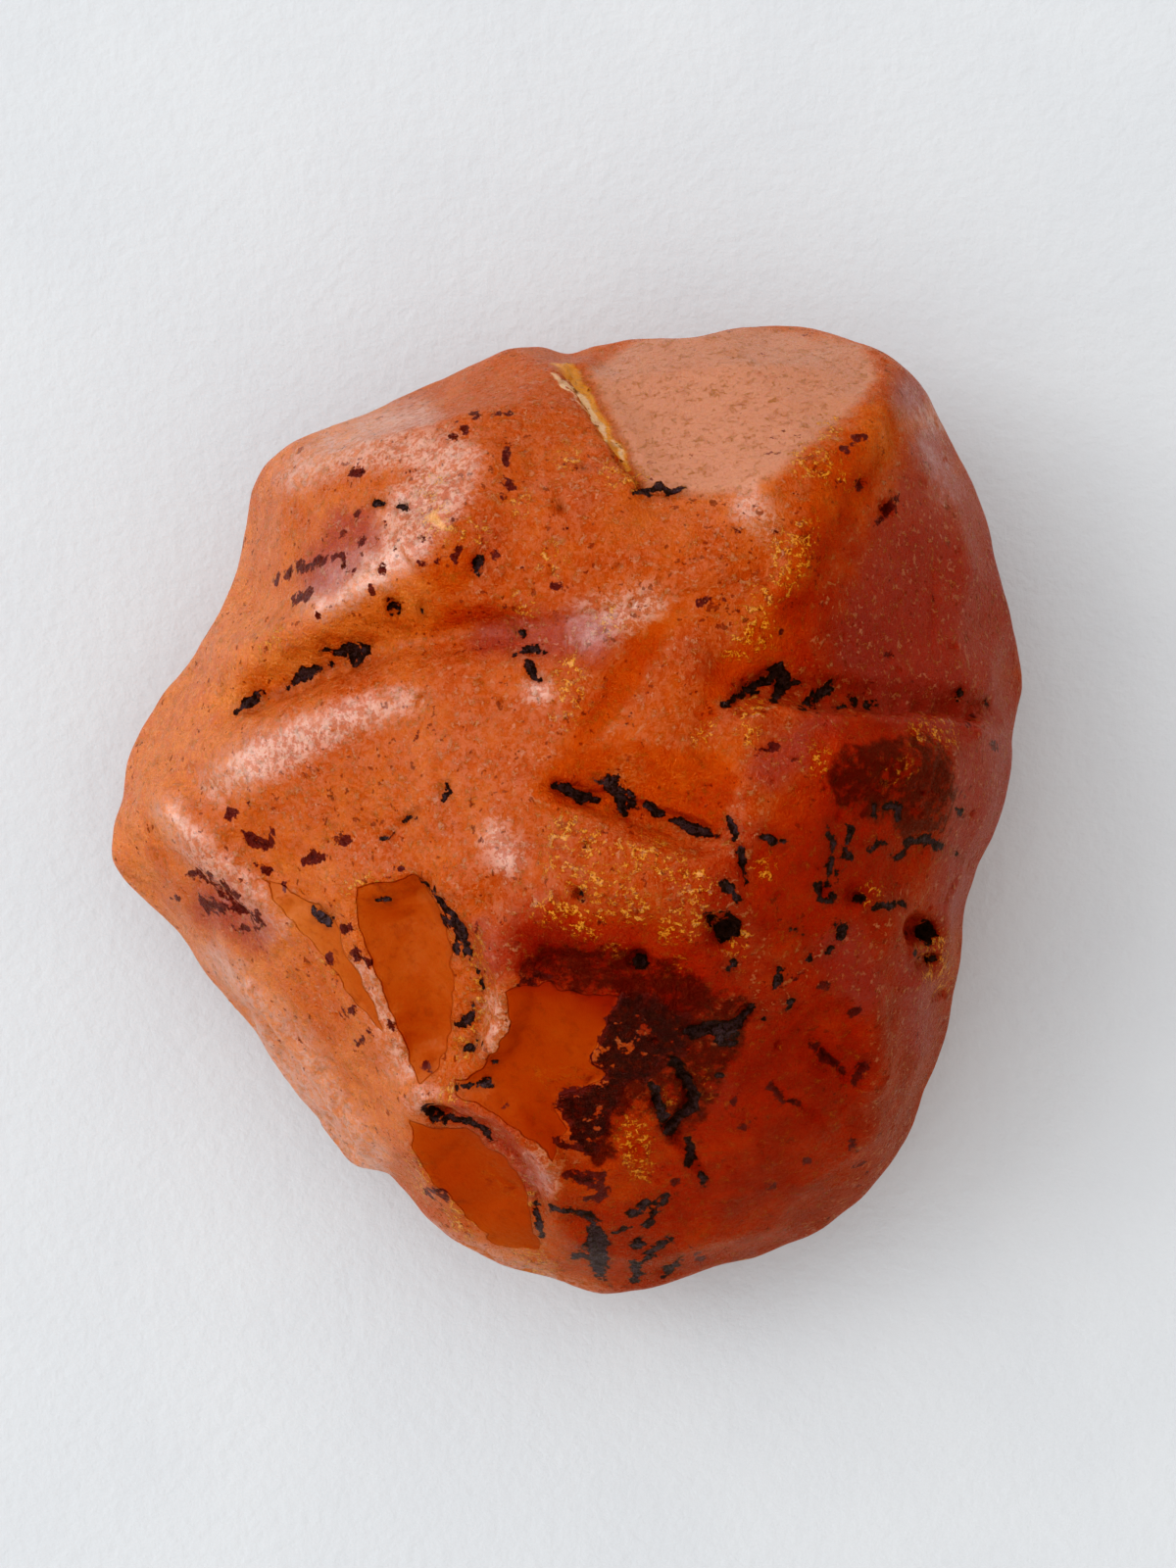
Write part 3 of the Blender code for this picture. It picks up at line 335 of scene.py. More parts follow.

# The body colour, partly the amber's own and partly painted light and shade, lighter on the west and darker on
# the east and south: east, south, reach, and colour from 0, honey, through 1, orange, and 2, russet, to 3,
# dark russet.
TONES_WITH_PAINTED_LIGHT_AND_SHADE = [
    (88.6, 44.6, 2.8, 0.2), (85.0, 51.0, 2.8, 0.3), (81.4, 58.0, 2.8, 0.4), (76.0, 66.0, 3, 0.7),
    (62, 70, 4, 1.8), (49, 55, 4, 1.5), (67, 66, 3, 1.4), (73, 54, 4, 0.9), (78, 50, 4, 0.7),
    (84, 45, 3, 0.7), (70, 62, 4, 1.0), (76, 64, 3, 1.0), (15, 76, 9, 0.1), (20, 68, 8, 0.35),
    (12, 87, 7, 0.45), (30, 50, 10, 0.75), (45, 47, 10, 0.95), (33, 112, 7, 0.0), (25, 100, 9, 0.2),
    (30, 63.5, 4, 0.0), (39, 62.5, 5, 0.2), (80, 84, 3, 1.4), (26, 58, 6, 0.9), (35, 80, 10, 0.95),
    (22, 88, 7, 0.9), (32, 104, 7, 0.6), (55, 55, 12, 1.15), (75, 40, 12, 1.0), (70, 45, 8, 0.9),
    (62, 70, 10, 1.15), (50, 78, 10, 1.05), (84, 50, 7, 1.35), (88, 44, 5, 1.3), (97, 60, 9, 2.1),
    (90, 62, 8, 2.2), (86, 58, 6, 1.9), (98, 48, 7, 1.0), (76, 68, 7, 1.5), (66, 80, 8, 1.2),
    (80, 78, 7, 1.6), (90, 78, 7, 2.4), (100, 80, 6, 2.4), (88, 88, 8, 2.3), (78, 92, 8, 2.0),
    (62, 88, 9, 1.4), (66, 96, 8, 1.9), (56, 97, 4, 3.2), (62, 98.5, 4, 3.2), (70, 101, 4, 3.0),
    (42, 100, 9, 0.95), (56, 106, 7, 1.05), (50, 120, 8, 1.15), (62, 120, 7, 1.7), (80, 106, 9, 2.25),
    (80, 118, 10, 2.3), (92, 108, 8, 2.5), (66, 129, 7, 2.1), (88, 98, 7, 2.1), (96, 96, 6, 2.3),
    (45, 126, 6, 1.1),
]

# Painted sheen: a mauve reflection painted on the shaded sides.
PAINTED_SHEEN_STROKES = [
    [(95.0, 47.0, 2.4), (94.0, 53.0, 3.0), (91.0, 60.0, 3.0), (88.0, 66.0, 2.4)],
    [(46.5, 113.4, 0.4), (51.6, 116.3, 0.6), (54.6, 120.6, 0.5)], [(49.0, 94.6, 0.2), (50.6, 98.4, 0.4)],
    [(98.0, 52.0, 4.0), (98.0, 62.0, 7.0), (94.0, 68.0, 6.0), (102.0, 74.0, 3.0), (100.4, 84.0, 3.0),
     (98.0, 92.0, 2.0)],
    [(93.6, 99.0, 1.4), (94.0, 106.0, 1.0)], [(73.4, 111.6, 1.0)], [(93.0, 40.0, 1.4)],
    [(22.0, 92.4, 1.6), (26.0, 95.2, 1.2)], [(36.0, 54.6, 2.0), (33.0, 58.6, 1.6)],
    [(50.0, 64.6, 1.6), (60.0, 65.0, 2.0)], [(86.0, 97.0, 2.0), (88.0, 101.0, 1.6)],
    [(84.0, 74.4, 1.2), (78.8, 78.0, 1.4)],
]

# The level facet in the north, tan: partly its own dry colour and partly painted sheen from the window.
FACET = [
    (60.0, 38.0), (66.0, 34.0), (76.0, 33.0), (88.0, 35.0), (89.5, 38.5), (88.0, 40.5), (86.5, 42.5),
    (84.0, 44.3), (82.0, 46.0), (80.0, 48.0), (77.0, 50.0), (72.0, 50.5), (66.0, 50.2), (63.6, 45.4),
]

# Fresh amber on the riser: a strip of pale yellow, partly its own colour and partly painted glow, with its
# cream line.
FRESH_STRIP_AND_GLOW = [
    [(44.3, 52.7, 0.55), (45.0, 53.9, 0.35)],
    [(57.2, 36.9, 0.9), (58.6, 38.6, 0.7), (60.2, 41.2, 0.6), (62.0, 44.4, 0.5), (63.4, 46.6, 0.45),
     (64.2, 48.0, 0.2)],
]
CREAM = [
    [(56.2, 38.2, 0.12), (58.2, 39.6, 0.3), (59.8, 41.4, 0.35), (61.4, 43.6, 0.3), (62.2, 45.2, 0.12)],
    [(62.6, 44.6, 0.1), (63.6, 46.8, 0.16)],
]

# ----------------------------------------------------------------------------------------------------------
# Fine relief on the upper side, in millimetres.
# ----------------------------------------------------------------------------------------------------------

# Grooves, below zero, and narrow ridges, above: (height, half width, [(east, south), ...]).
LINES = [
    # the crease above the south-west flange
    (0.45, 0.9, [(24.6, 100.0), (28.8, 104.6), (32.0, 108.8), (35.2, 113.4), (38.4, 118.4)]),
    (-0.5, 1.1, [(25.2, 102.0), (28.4, 106.2), (31.1, 110.2), (34.0, 114.4), (37.0, 118.4)]),
    # crevices of the long valley
    (-0.7, 1.0, [(22.6, 73.4), (25.2, 71.8), (28.6, 70.4), (31.4, 68.9), (34.0, 67.8), (37.0, 66.6),
                 (40.0, 65.9)]),
    # the riser's crack
    (-0.5, 0.6, [(57.0, 37.0), (59.2, 40.4), (61.4, 43.8), (63.4, 47.2), (65.6, 49.6), (68.0, 50.4),
                 (70.0, 49.8)]),
    # the ledge's crevice, and its brow
    (-0.8, 0.9, [(73.8, 71.8), (76.8, 70.2), (79.4, 68.8), (81.6, 70.6), (84.6, 71.2), (88.0, 71.8),
                 (92.0, 72.0), (97.0, 72.1), (101.0, 72.8)]),
    (0.35, 0.9, [(76.0, 73.6), (79.4, 72.9), (83.4, 73.3), (88.0, 73.5), (93.0, 73.7), (98.0, 73.9),
                 (101.4, 75.2)]),
    # the slot and its lip
    (-0.7, 1.0, [(55.8, 80.2), (58.0, 80.7), (61.0, 81.3), (64.0, 82.2), (67.4, 83.2), (70.6, 84.4),
                 (73.2, 85.3)]),
    (0.3, 0.6, [(54.6, 81.6), (56.8, 82.4), (60.0, 83.5), (63.6, 84.6), (67.6, 85.7), (71.4, 86.4),
                (74.2, 86.4)]),
    # the upper scar's groove and rim
    (-0.8, 1.0, [(43.0, 90.0), (45.4, 92.4), (47.2, 95.4), (48.6, 98.8), (49.0, 102.4), (48.6, 105.6),
                 (47.6, 108.0)]),
    (0.5, 0.8, [(43.8, 89.6), (46.4, 91.8), (48.8, 94.6), (50.6, 98.0), (51.4, 101.2), (51.4, 104.0),
                (50.2, 106.6), (48.4, 108.8)]),
    # the lower scar's groove and rim
    (-0.8, 1.0, [(43.8, 113.4), (46.0, 114.1), (48.8, 114.9), (51.2, 116.8), (53.2, 119.2), (54.5, 121.8),
                 (55.1, 124.8)]),
    (0.4, 0.7, [(45.0, 112.3), (48.4, 113.0), (51.4, 114.6), (54.0, 117.0), (55.9, 119.8)]),
    # the pink line west of the scar
    (0.35, 0.7, [(32.8, 90.8), (35.4, 93.4), (36.6, 96.6), (38.4, 100.2), (40.0, 103.8), (41.4, 108.0)]),
    # the knob's groove
    (-0.7, 1.1, [(15.2, 83.0), (15.6, 85.6), (17.6, 87.8), (20.4, 89.4), (23.6, 91.8), (26.0, 94.0)]),
    # short cracks of the plateau and the middle
    (-0.45, 0.6, [(38.6, 86.0), (40.6, 84.4), (42.8, 82.8)]),
    (-0.4, 0.6, [(57.6, 63.6), (57.6, 66.2), (57.0, 68.0)]), (-0.5, 0.7, [(45.0, 81.8), (45.6, 80.0)]),
    (-0.4, 0.6, [(43.6, 70.0), (43.0, 73.4)]),
    # the streaks past the slot's end
    (-0.5, 0.6, [(74.6, 83.8), (75.3, 86.0), (76.0, 88.6), (76.1, 90.2)]),
    # the south brow and the pit patch below it
    (-0.6, 0.9, [(69.8, 105.2), (72.6, 105.2), (75.4, 104.4), (77.0, 102.6)]),
    (-0.6, 0.8, [(68.4, 108.0), (70.0, 110.4), (70.4, 113.0), (68.4, 115.4), (70.4, 118.4), (72.0, 120.6)]),
    (-0.4, 0.6, [(82.8, 106.2), (84.8, 108.2), (86.6, 110.2), (88.0, 108.6)]),
    (-0.25, 0.5, [(78.6, 110.4), (80.4, 112.2), (82.4, 113.4), (84.4, 115.0)]),
    # the split in the south rim
    (-0.5, 0.5, [(45.6, 126.4), (49.0, 128.2), (52.6, 129.8), (56.0, 130.9), (60.0, 131.5)]),
    (-0.3, 0.5, [(49.6, 119.6), (51.6, 120.9), (53.6, 122.4)]),
    # seams down the east face
    (-0.2, 0.6, [(91.0, 50.0), (90.6, 54.6)]), (-0.16, 0.7, [(95.4, 56.0), (95.0, 66.0)]),
    (-0.3, 0.6, [(96.0, 92.6), (98.0, 89.4), (99.6, 86.4)]),
    (-0.4, 0.7, [(93.2, 93.0), (92.6, 96.6), (93.4, 100.4)]),
]

# Broad swells and hollows of the same kind.
FORMS = [
    # the north lobe's brow
    (0.7, 5.0, [(27.0, 64.5), (33.0, 61.0), (40.0, 57.5), (46.0, 57.0), (52.0, 58.5)]),
    # the valley
    (-1.3, 3.4, [(24.0, 72.0), (30.0, 69.4), (36.0, 67.0), (42.0, 65.3), (48.0, 64.6), (53.0, 64.6)]),
    # its far bank
    (0.5, 6.0, [(21.0, 80.0), (27.0, 76.0), (33.0, 73.0), (38.0, 71.0), (44.0, 69.8), (50.0, 69.6)]),
    (-0.5, 3.0, [(66.6, 63.6), (63.4, 69.0), (60.4, 74.0), (57.0, 78.4)]),
    (0.3, 4.0, [(70.4, 65.4), (67.4, 71.0), (65.4, 76.6)]),
    (-0.6, 3.0, [(74.4, 66.6), (72.6, 71.0), (72.0, 75.0), (73.0, 80.0), (74.6, 84.0)]),
    (-0.9, 4.4, [(41.0, 92.4), (42.0, 98.0), (43.6, 104.0), (44.6, 107.6)]),  # the upper scar
    (1.1, 2.2, [(44.6, 88.8), (48.0, 91.8), (50.6, 95.8), (52.0, 99.6), (52.4, 103.0), (51.0, 106.4),
                (49.0, 108.6)]),
    (-0.8, 4.4, [(45.0, 117.0), (48.0, 120.6), (51.0, 124.6)]),  # the lower scar
    (0.9, 2.0, [(46.0, 111.9), (49.6, 112.6), (53.0, 114.6), (55.8, 117.4), (57.0, 120.4)]),
    (-0.4, 4.0, [(58.0, 78.4), (63.0, 79.6), (68.0, 81.0), (72.6, 82.8)]),  # the slope into the slot
    (1.0, 6.0, [(60.0, 87.0), (64.0, 90.4), (70.0, 92.0), (76.0, 90.0)]),  # the south bulge
    (-1.0, 3.6, [(54.0, 97.6), (60.0, 98.8), (66.0, 100.2), (72.0, 100.4)]),  # under it
    (0.9, 5.0, [(84.0, 76.4), (90.0, 77.2), (96.0, 79.0)]),  # the block
    (-1.1, 2.4, [(74.0, 71.4), (79.0, 69.6), (84.0, 70.8), (90.0, 71.4), (97.0, 71.6), (101.6, 72.6)]),
    (0.8, 3.0, [(90.6, 40.4), (88.4, 45.4), (84.8, 51.4), (82.0, 57.4), (80.0, 62.0)]),  # the spine
    (0.8, 3.4, [(15.6, 79.0), (17.4, 83.4), (21.4, 87.6), (26.0, 92.0), (30.0, 97.0)]),  # the west knob
    (-0.8, 3.2, [(24.0, 84.0), (27.4, 88.6), (32.4, 93.0)]),
    (1.1, 6.0, [(49.6, 44.6), (48.6, 49.0), (46.4, 53.6), (42.0, 58.0)]),  # the north-west crest
    (0.7, 3.0, [(78.4, 103.6), (83.4, 100.6), (88.8, 101.6), (89.6, 106.6), (89.0, 112.6)]),
    (-0.7, 3.0, [(82.0, 106.0), (85.6, 109.6)]),
    # the crease above the south-west flange
    (0.7, 2.0, [(24.6, 100.0), (28.8, 104.6), (32.0, 108.8), (35.2, 113.4), (38.4, 118.4)]),
    (-0.8, 1.8, [(25.0, 102.2), (28.2, 106.4), (30.9, 110.4), (33.8, 114.6), (36.8, 118.6)]),
]

# Edges of thin layers: the ground to the left of the way along stands higher by the rise, and evens out.
STEPS = [
    (0.26, 3.4, [(43.0, 64.8), (47.0, 63.6), (52.0, 62.9), (57.0, 62.9), (60.0, 62.4), (66.0, 61.0),
                 (72.0, 60.0), (77.4, 57.8)]),
    (-0.7, 2.2, [(57.4, 36.6), (59.4, 40.6), (62.0, 44.8), (64.6, 48.8)]),
    (0.3, 2.4, [(57.8, 63.2), (57.4, 66.0), (57.9, 68.6)]),
    (0.25, 2.4, [(62.0, 68.4), (59.6, 72.6), (57.4, 77.4)]),
    (0.2, 2.0, [(46.6, 48.6), (45.6, 45.6), (47.6, 42.6)]),
]

# Round pits: east, south, radius, depth.
PITS = [
    (74.2, 94.7, 1.75, 0.5), (72.3, 93.5, 0.8, 0.6), (65.4, 98.0, 1.0, 0.6), (59.2, 91.4, 0.8, 0.5),
    (58.9, 89.2, 0.4, 0.3), (40.2, 62.0, 0.9, 0.9), (43.3, 61.9, 0.6, 0.5), (38.8, 51.4, 0.7, 0.5),
    (41.2, 51.2, 0.8, 0.35), (48.8, 57.7, 0.8, 0.6), (38.9, 58.2, 0.45, 0.3), (57.3, 51.8, 0.6, 0.4),
    (54.4, 68.6, 1.0, 0.5), (53.2, 64.5, 0.5, 0.4), (75.2, 53.9, 0.4, 0.3), (87.7, 49.4, 0.45, 0.3),
    (90.3, 52.0, 0.9, 0.6), (98.0, 70.8, 0.6, 0.5), (100.4, 71.8, 0.45, 0.4), (87.6, 91.6, 0.6, 0.5),
    (94.3, 95.1, 1.2, 1.2), (94.9, 97.9, 0.9, 0.9), (84.2, 91.0, 0.8, 0.5), (59.4, 47.6, 0.35, 0.3),
    (78.3, 76.5, 0.9, 0.35), (54.6, 66.4, 0.8, 0.35), (44.6, 113.7, 0.9, 0.8), (49.7, 110.4, 0.5, 0.3),
    (81.0, 77.4, 0.4, 0.25), (60.2, 96.0, 0.4, 0.25), (57.8, 54.0, 0.4, 0.3), (36.4, 48.1, 0.6, 0.2),
    (66.9, 112.6, 0.8, 0.5), (64.8, 117.4, 1.0, 0.3), (43.4, 108.9, 0.3, 0.2), (50.4, 108.5, 0.35, 0.25),
    (95.6, 101.6, 0.8, 0.4), (77.4, 36.8, 0.9, 0.2), (73.4, 44.5, 0.5, 0.15),
]

# ----------------------------------------------------------------------------------------------------------
# The sides: (way round in degrees, height in millimetres, half width in millimetres).
# ----------------------------------------------------------------------------------------------------------

ROUND_MM = 0.8  # millimetres along the girth for a degree
SIDE_SOOT = [
    [(22, 14, 0.3), (26, 11, 0.6), (31, 10, 0.3)], [(47, 17, 0.4), (50, 14, 0.7), (52, 12, 0.3)],
    [(78, 9, 0.5)], [(96, 15, 0.2), (101, 13, 0.5), (106, 12.6, 0.4), (112, 10, 0.2)],
    [(133, 12, 0.7), (136, 10, 0.5)], [(160, 9, 0.3), (165, 11, 0.6), (170, 10.6, 0.3)], [(196, 13, 0.5)],
    [(214, 7, 0.3), (219, 9, 0.5)], [(262, 9, 0.3), (267, 11, 0.4)],
    [(286, 13, 0.3), (291, 10, 0.6), (294, 7.6, 0.4)], [(317, 14, 0.7)],
    [(331, 10, 0.3), (337, 12, 0.5), (343, 11, 0.3)], [(354, 16, 0.4)],
]
SIDE_PLUM = [
    # high in the north-east; those above the top mark nothing
    [(34.6, 57.0, 0.2), (35.8, 58.2, 0.25)], [(30.4, 61.2, 0.3), (31.6, 60.4, 0.3)], [(32.4, 62.4, 0.2)],
    [(37.0, 55.4, 0.3)], [(39.4, 53.6, 0.25)], [(40.8, 56.0, 0.2)], [(43.6, 54.8, 0.2)], [(38.0, 60.2, 0.2)],
    [(50.4, 56.8, 0.35)], [(51.4, 50.8, 0.3)], [(46.4, 44.6, 0.2)], [(42.0, 47.8, 0.2)], [(33.2, 55.0, 0.15)],
    # lower down, all the way round
    [(10, 18, 0.4), (16, 19, 0.6)], [(40, 8, 0.5)], [(60, 15, 0.3), (66, 17, 0.6), (70, 16, 0.4)],
    [(88, 19, 0.5)], [(118, 16, 0.7), (124, 15, 0.4)], [(150, 14, 0.4), (154, 12, 0.5)],
    [(181, 14, 0.6), (186, 15, 0.5)], [(205, 14, 0.6)], [(243, 7, 0.4)], [(275, 12, 0.5)],
    [(301, 18, 0.4), (306, 17, 0.6)], [(324, 18, 0.5)], [(349, 9, 0.5)],
]
SIDE_BARE = [
    [(13, 8, 9.5)], [(54, 7, 5.0)], [(106, 4, 4.5)], [(147, 6, 6.5)], [(190, 6, 5.0)], [(290, 5, 6.0)],
    [(327, 8, 5.0)],
]
SIDE_FLECKS = [
    [(30, 18, 0.8)], [(70, 12, 0.7)], [(114, 11, 0.9)], [(157, 15, 0.8)], [(200, 10, 0.7)],
    [(298, 12, 0.8)], [(341, 17, 0.9)],
]
SIDE_LINES = [
    (-0.6, 0.9, [(20, 15), (26, 11), (33, 10)]), (-0.5, 0.7, [(46, 18), (50, 14), (53, 11)]),
    (-0.6, 0.8, [(94, 16), (101, 13), (106, 12.6), (113, 9.6)]),
    (-0.5, 0.8, [(158, 8), (165, 11), (171, 10.6)]), (-0.5, 0.8, [(284, 14), (291, 10), (295, 7)]),
    (-0.5, 0.8, [(329, 9), (337, 12), (345, 11)]), (-0.4, 0.8, [(212, 6), (219, 9), (226, 9)]),
]
SIDE_PITS = [
    (78, 9, 0.9, 0.7), (133, 11, 1.0, 0.8), (196, 13, 0.7, 0.6), (317, 14, 0.9, 0.8), (354, 16, 0.6, 0.5),
    (40, 19, 0.6, 0.4), (240, 10, 0.7, 0.5), (268, 14, 0.6, 0.4), (120, 8, 0.6, 0.4),
]

# ----------------------------------------------------------------------------------------------------------
# Measuring the marks: distances in millimetres from places in millimetres.
# ----------------------------------------------------------------------------------------------------------


def eased(value, low, high):
    """From 0 at low to 1 at high, smoothly."""
    share = np.clip((value - low) / (high - low), 0.0, 1.0)
    return share * share * (3.0 - 2.0 * share)


def readings(places):
    """The readings, east and south in millimetres, of places in metres."""
    across = places[:, 0] / MM + MIDDLE[0]
    down = MIDDLE[1] - places[:, 1] / MM
    spread = (EYE_HEIGHT - WAIST) / (EYE_HEIGHT - places[:, 2] / MM)
    return np.stack([EYE[0] + (across - EYE[0]) * spread, EYE[1] + (down - EYE[1]) * spread], axis=1)


def seen_by_eye(places, normals):
    """From 0, turned from the eye, to 1, turned to it."""
    eye = np.array([EYE[0] - MIDDLE[0], MIDDLE[1] - EYE[1], EYE_HEIGHT]) * MM
    sight = eye - places
    sight /= np.linalg.norm(sight, axis=1)[:, None]
    return eased((normals * sight).sum(axis=1), 0.0, TURNED)


def round_and_up(places):
    """Places unrolled from the sides: the way round and the height, in millimetres."""
    bearing = np.degrees(np.arctan2(places[:, 0], places[:, 1])) % 360.0
    return np.stack([bearing * ROUND_MM, places[:, 2] / MM], axis=1)


def unrolled(table):
    """Side marks given in degrees round, turned into millimetres round."""
    return [[(point[0] * ROUND_MM, *point[1:]) for point in stroke] for stroke in table]


def wobble(places, size, amount, seed):
    """A smooth random number for each place, in metres, within the amount."""
    shift = Vector((seed * 17.3, seed * 9.1, seed * 5.7))
    scale = 1.0 / (size * MM)
    return np.array([noise.noise(Vector(place) * scale + shift) for place in places]) * amount


def laid_out(places):
    """Places as readings, and unrolled from the sides, both shaken so that marks get uneven edges."""
    upper_shake = np.stack([wobble(places, 1.6, 0.5, 2), wobble(places, 1.6, 0.5, 3)], axis=1)
    side_shake = np.stack([wobble(places, 2.0, 0.7, 6), wobble(places, 2.0, 0.7, 7)], axis=1)
    return readings(places) + upper_shake, round_and_up(places) + side_shake


def near(flat, corners, reach):
    """The places within reach of the box round some corners."""
    low = corners.min(axis=0) - reach
    high = corners.max(axis=0) + reach
    return np.flatnonzero(((flat > low) & (flat < high)).all(axis=1))


def to_stretch(flat, start, end):
    """How far each place is from a straight stretch, and where along it the nearest point is, from 0 to 1."""
    way = end - start
    share = np.clip((flat - start) @ way / max(way @ way, 1e-9), 0.0, 1.0)
    return np.linalg.norm(flat - start - share[:, None] * way, axis=1), share


def in_strokes(flat, table, reach=1.5):
    """How deep each place lies in the nearest stroke: below zero outside, no lower than minus the reach."""
    depth = np.full(len(flat), -reach)
    for stroke in table:
        points = np.array(stroke)
        for start, end in zip(points, points[1:] if len(points) > 1 else points):
            corners = np.array([start[:2], end[:2]])
            close = near(flat, corners, reach + max(start[2], end[2]))
            far, share = to_stretch(flat[close], start[:2], end[:2])
            depth[close] = np.maximum(depth[close], start[2] + (end[2] - start[2]) * share - far)
    return depth


def in_patches(flat, table, reach=2.0):
    """How deep each place lies in the nearest closed patch, as in_strokes gives it."""
    depth = np.full(len(flat), -reach)
    for patch in table:
        points = np.array(patch)
        close = near(flat, points, reach)
        spots = flat[close]
        edge = np.full(len(close), 1e3)
        inside = np.zeros(len(close), bool)
        for start, end in zip(points, np.roll(points, -1, axis=0)):
            edge = np.minimum(edge, to_stretch(spots, start, end)[0])
            spans = (start[1] > spots[:, 1]) != (end[1] > spots[:, 1])
            rise = end[1] - start[1] if end[1] != start[1] else 1e-9
            inside ^= spans & (spots[:, 0] < start[0] + (end[0] - start[0]) * (spots[:, 1] - start[1]) / rise)
        depth[close] = np.maximum(depth[close], np.where(inside, edge, -edge))
    return depth


def along(flat, points, reach):
    """The places within reach of a way: which they are, how far off, on which side, how far from its ends."""
    points = np.array(points)
    close = near(flat, points, reach)
    spots = flat[close]
    off = np.full(len(close), 1e3)
    side = np.ones(len(close))
    run = np.zeros(len(close))
    lengths = np.linalg.norm(np.diff(points, axis=0), axis=1)
    starts = np.concatenate([[0.0], np.cumsum(lengths)])
    for number, (start, end) in enumerate(zip(points, points[1:])):
        far, share = to_stretch(spots, start, end)
        best = far < off
        way = end - start
        turn = way[0] * (spots[:, 1] - start[1]) - way[1] * (spots[:, 0] - start[0])
        off = np.where(best, far, off)
        side = np.where(best, np.where(turn < 0.0, 1.0, -1.0), side)
        run = np.where(best, starts[number] + share * lengths[number], run)
    return close, off, side, np.minimum(run, starts[-1] - run)


# ----------------------------------------------------------------------------------------------------------
# The surface.
# ----------------------------------------------------------------------------------------------------------


def grooved(flat, table, uneven):
    """Relief of grooves and narrow ridges, in millimetres."""
    relief = np.zeros(len(flat))
    for height, half, points in table:
        close, off, _, left = along(flat, points, half)
        share = np.clip(off / half, 0.0, 1.0)
        shape = (1.0 - share) ** 2 * (1.0 + 2.0 * share)
        relief[close] += height * shape * (0.8 + uneven[close]) * (0.25 + 0.75 * eased(left, 0.0, 1.6))
    return relief


def stepped(flat, table):
    """Relief of the edges of thin layers, in millimetres."""
    relief = np.zeros(len(flat))
    for rise, reach, points in table:
        close, off, side, left = along(flat, points, reach)
        upper = eased(off * side, -0.2, 0.2)
        relief[close] += rise * upper * (1.0 - eased(off, reach * 0.25, reach)) * eased(left, 0.0, 1.5)
    return relief


def pitted(flat, table):
    """Relief of round pits with a faint rim, in millimetres."""
    relief = np.zeros(len(flat))
    for east, south, radius, depth in table:
        close = near(flat, np.array([[east, south]]), radius * 1.6)
        share = np.linalg.norm(flat[close] - (east, south), axis=1) / radius
        bowl = -depth * np.clip(1.0 - share ** 2, 0.0, 1.0) ** 1.3
        rim = 0.12 * depth * np.exp(-((share - 1.1) / 0.22) ** 2)
        relief[close] += bowl + rim
    return relief


def small_pits(count, seed):
    """Seeded random tiny pits over the upper side."""
    chance = np.random.default_rng(seed)
    table = []
    for _ in range(count):
        east, south = chance.uniform(12, 104), chance.uniform(34, 132)
        radius = chance.uniform(0.22, 0.5)
        table.append((east, south, radius, radius * chance.uniform(0.4, 0.8)))
    return table


def mesh_normals(places, corners):
    """Normals at the places of a triangle mesh."""
    first, second, third = (places[corners[:, i]] for i in range(3))
    crossing = np.cross(second - first, third - first)
    normals = np.zeros_like(places)
    for i in range(3):
        for axis in range(3):
            normals[:, axis] += np.bincount(corners[:, i], crossing[:, axis], len(places))
    return normals / np.maximum(np.linalg.norm(normals, axis=1), 1e-12)[:, None]


def evened(places, pairs, passes):
    """Places drawn towards their neighbours and swelled back, again and again."""
    joined = np.bincount(pairs.ravel(), minlength=len(places))[:, None]
    for _ in range(passes):
        for strength in (WEAR, SWELL_BACK):
            total = np.empty_like(places)
            for axis in range(3):
                total[:, axis] = np.bincount(pairs[:, 0], places[pairs[:, 1], axis], len(places))
                total[:, axis] += np.bincount(pairs[:, 1], places[pairs[:, 0], axis], len(places))
            places = places + strength * (total / joined - places)
    return places


def shrunk_ball(solid):
    """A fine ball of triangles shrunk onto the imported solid: places, triangles and neighbouring pairs."""
    ball = bmesh.new()
    bmesh.ops.create_icosphere(ball, subdivisions=FINENESS, radius=1.0)
    ways = np.array([v.co[:] for v in ball.verts])
    corners = np.array([[v.index for v in f.verts] for f in ball.faces])
    pairs = np.array([[v.index for v in e.verts] for e in ball.edges])
    ball.free()
    ways[:, 2] += UPWARD
    ways /= np.linalg.norm(ways, axis=1)[:, None]
    mesh = solid.data
    skin = BVHTree.FromPolygons([v.co for v in mesh.vertices], [p.vertices for p in mesh.polygons])
    heart = HEART * MM
    places = []
    for way in ways:
        way = Vector(way)
        hit = skin.ray_cast(heart + way * OUTSIDE, -way)[0]
        places.append(hit if hit is not None else heart)
    return evened(np.array(places), pairs, PASSES), corners, pairs


def packed(depth, lumps):
    """Relief of lumpy dirt packed a little below the crust, in millimetres."""
    return (0.10 * lumps - 0.06) * eased(depth, -0.1, 0.3)


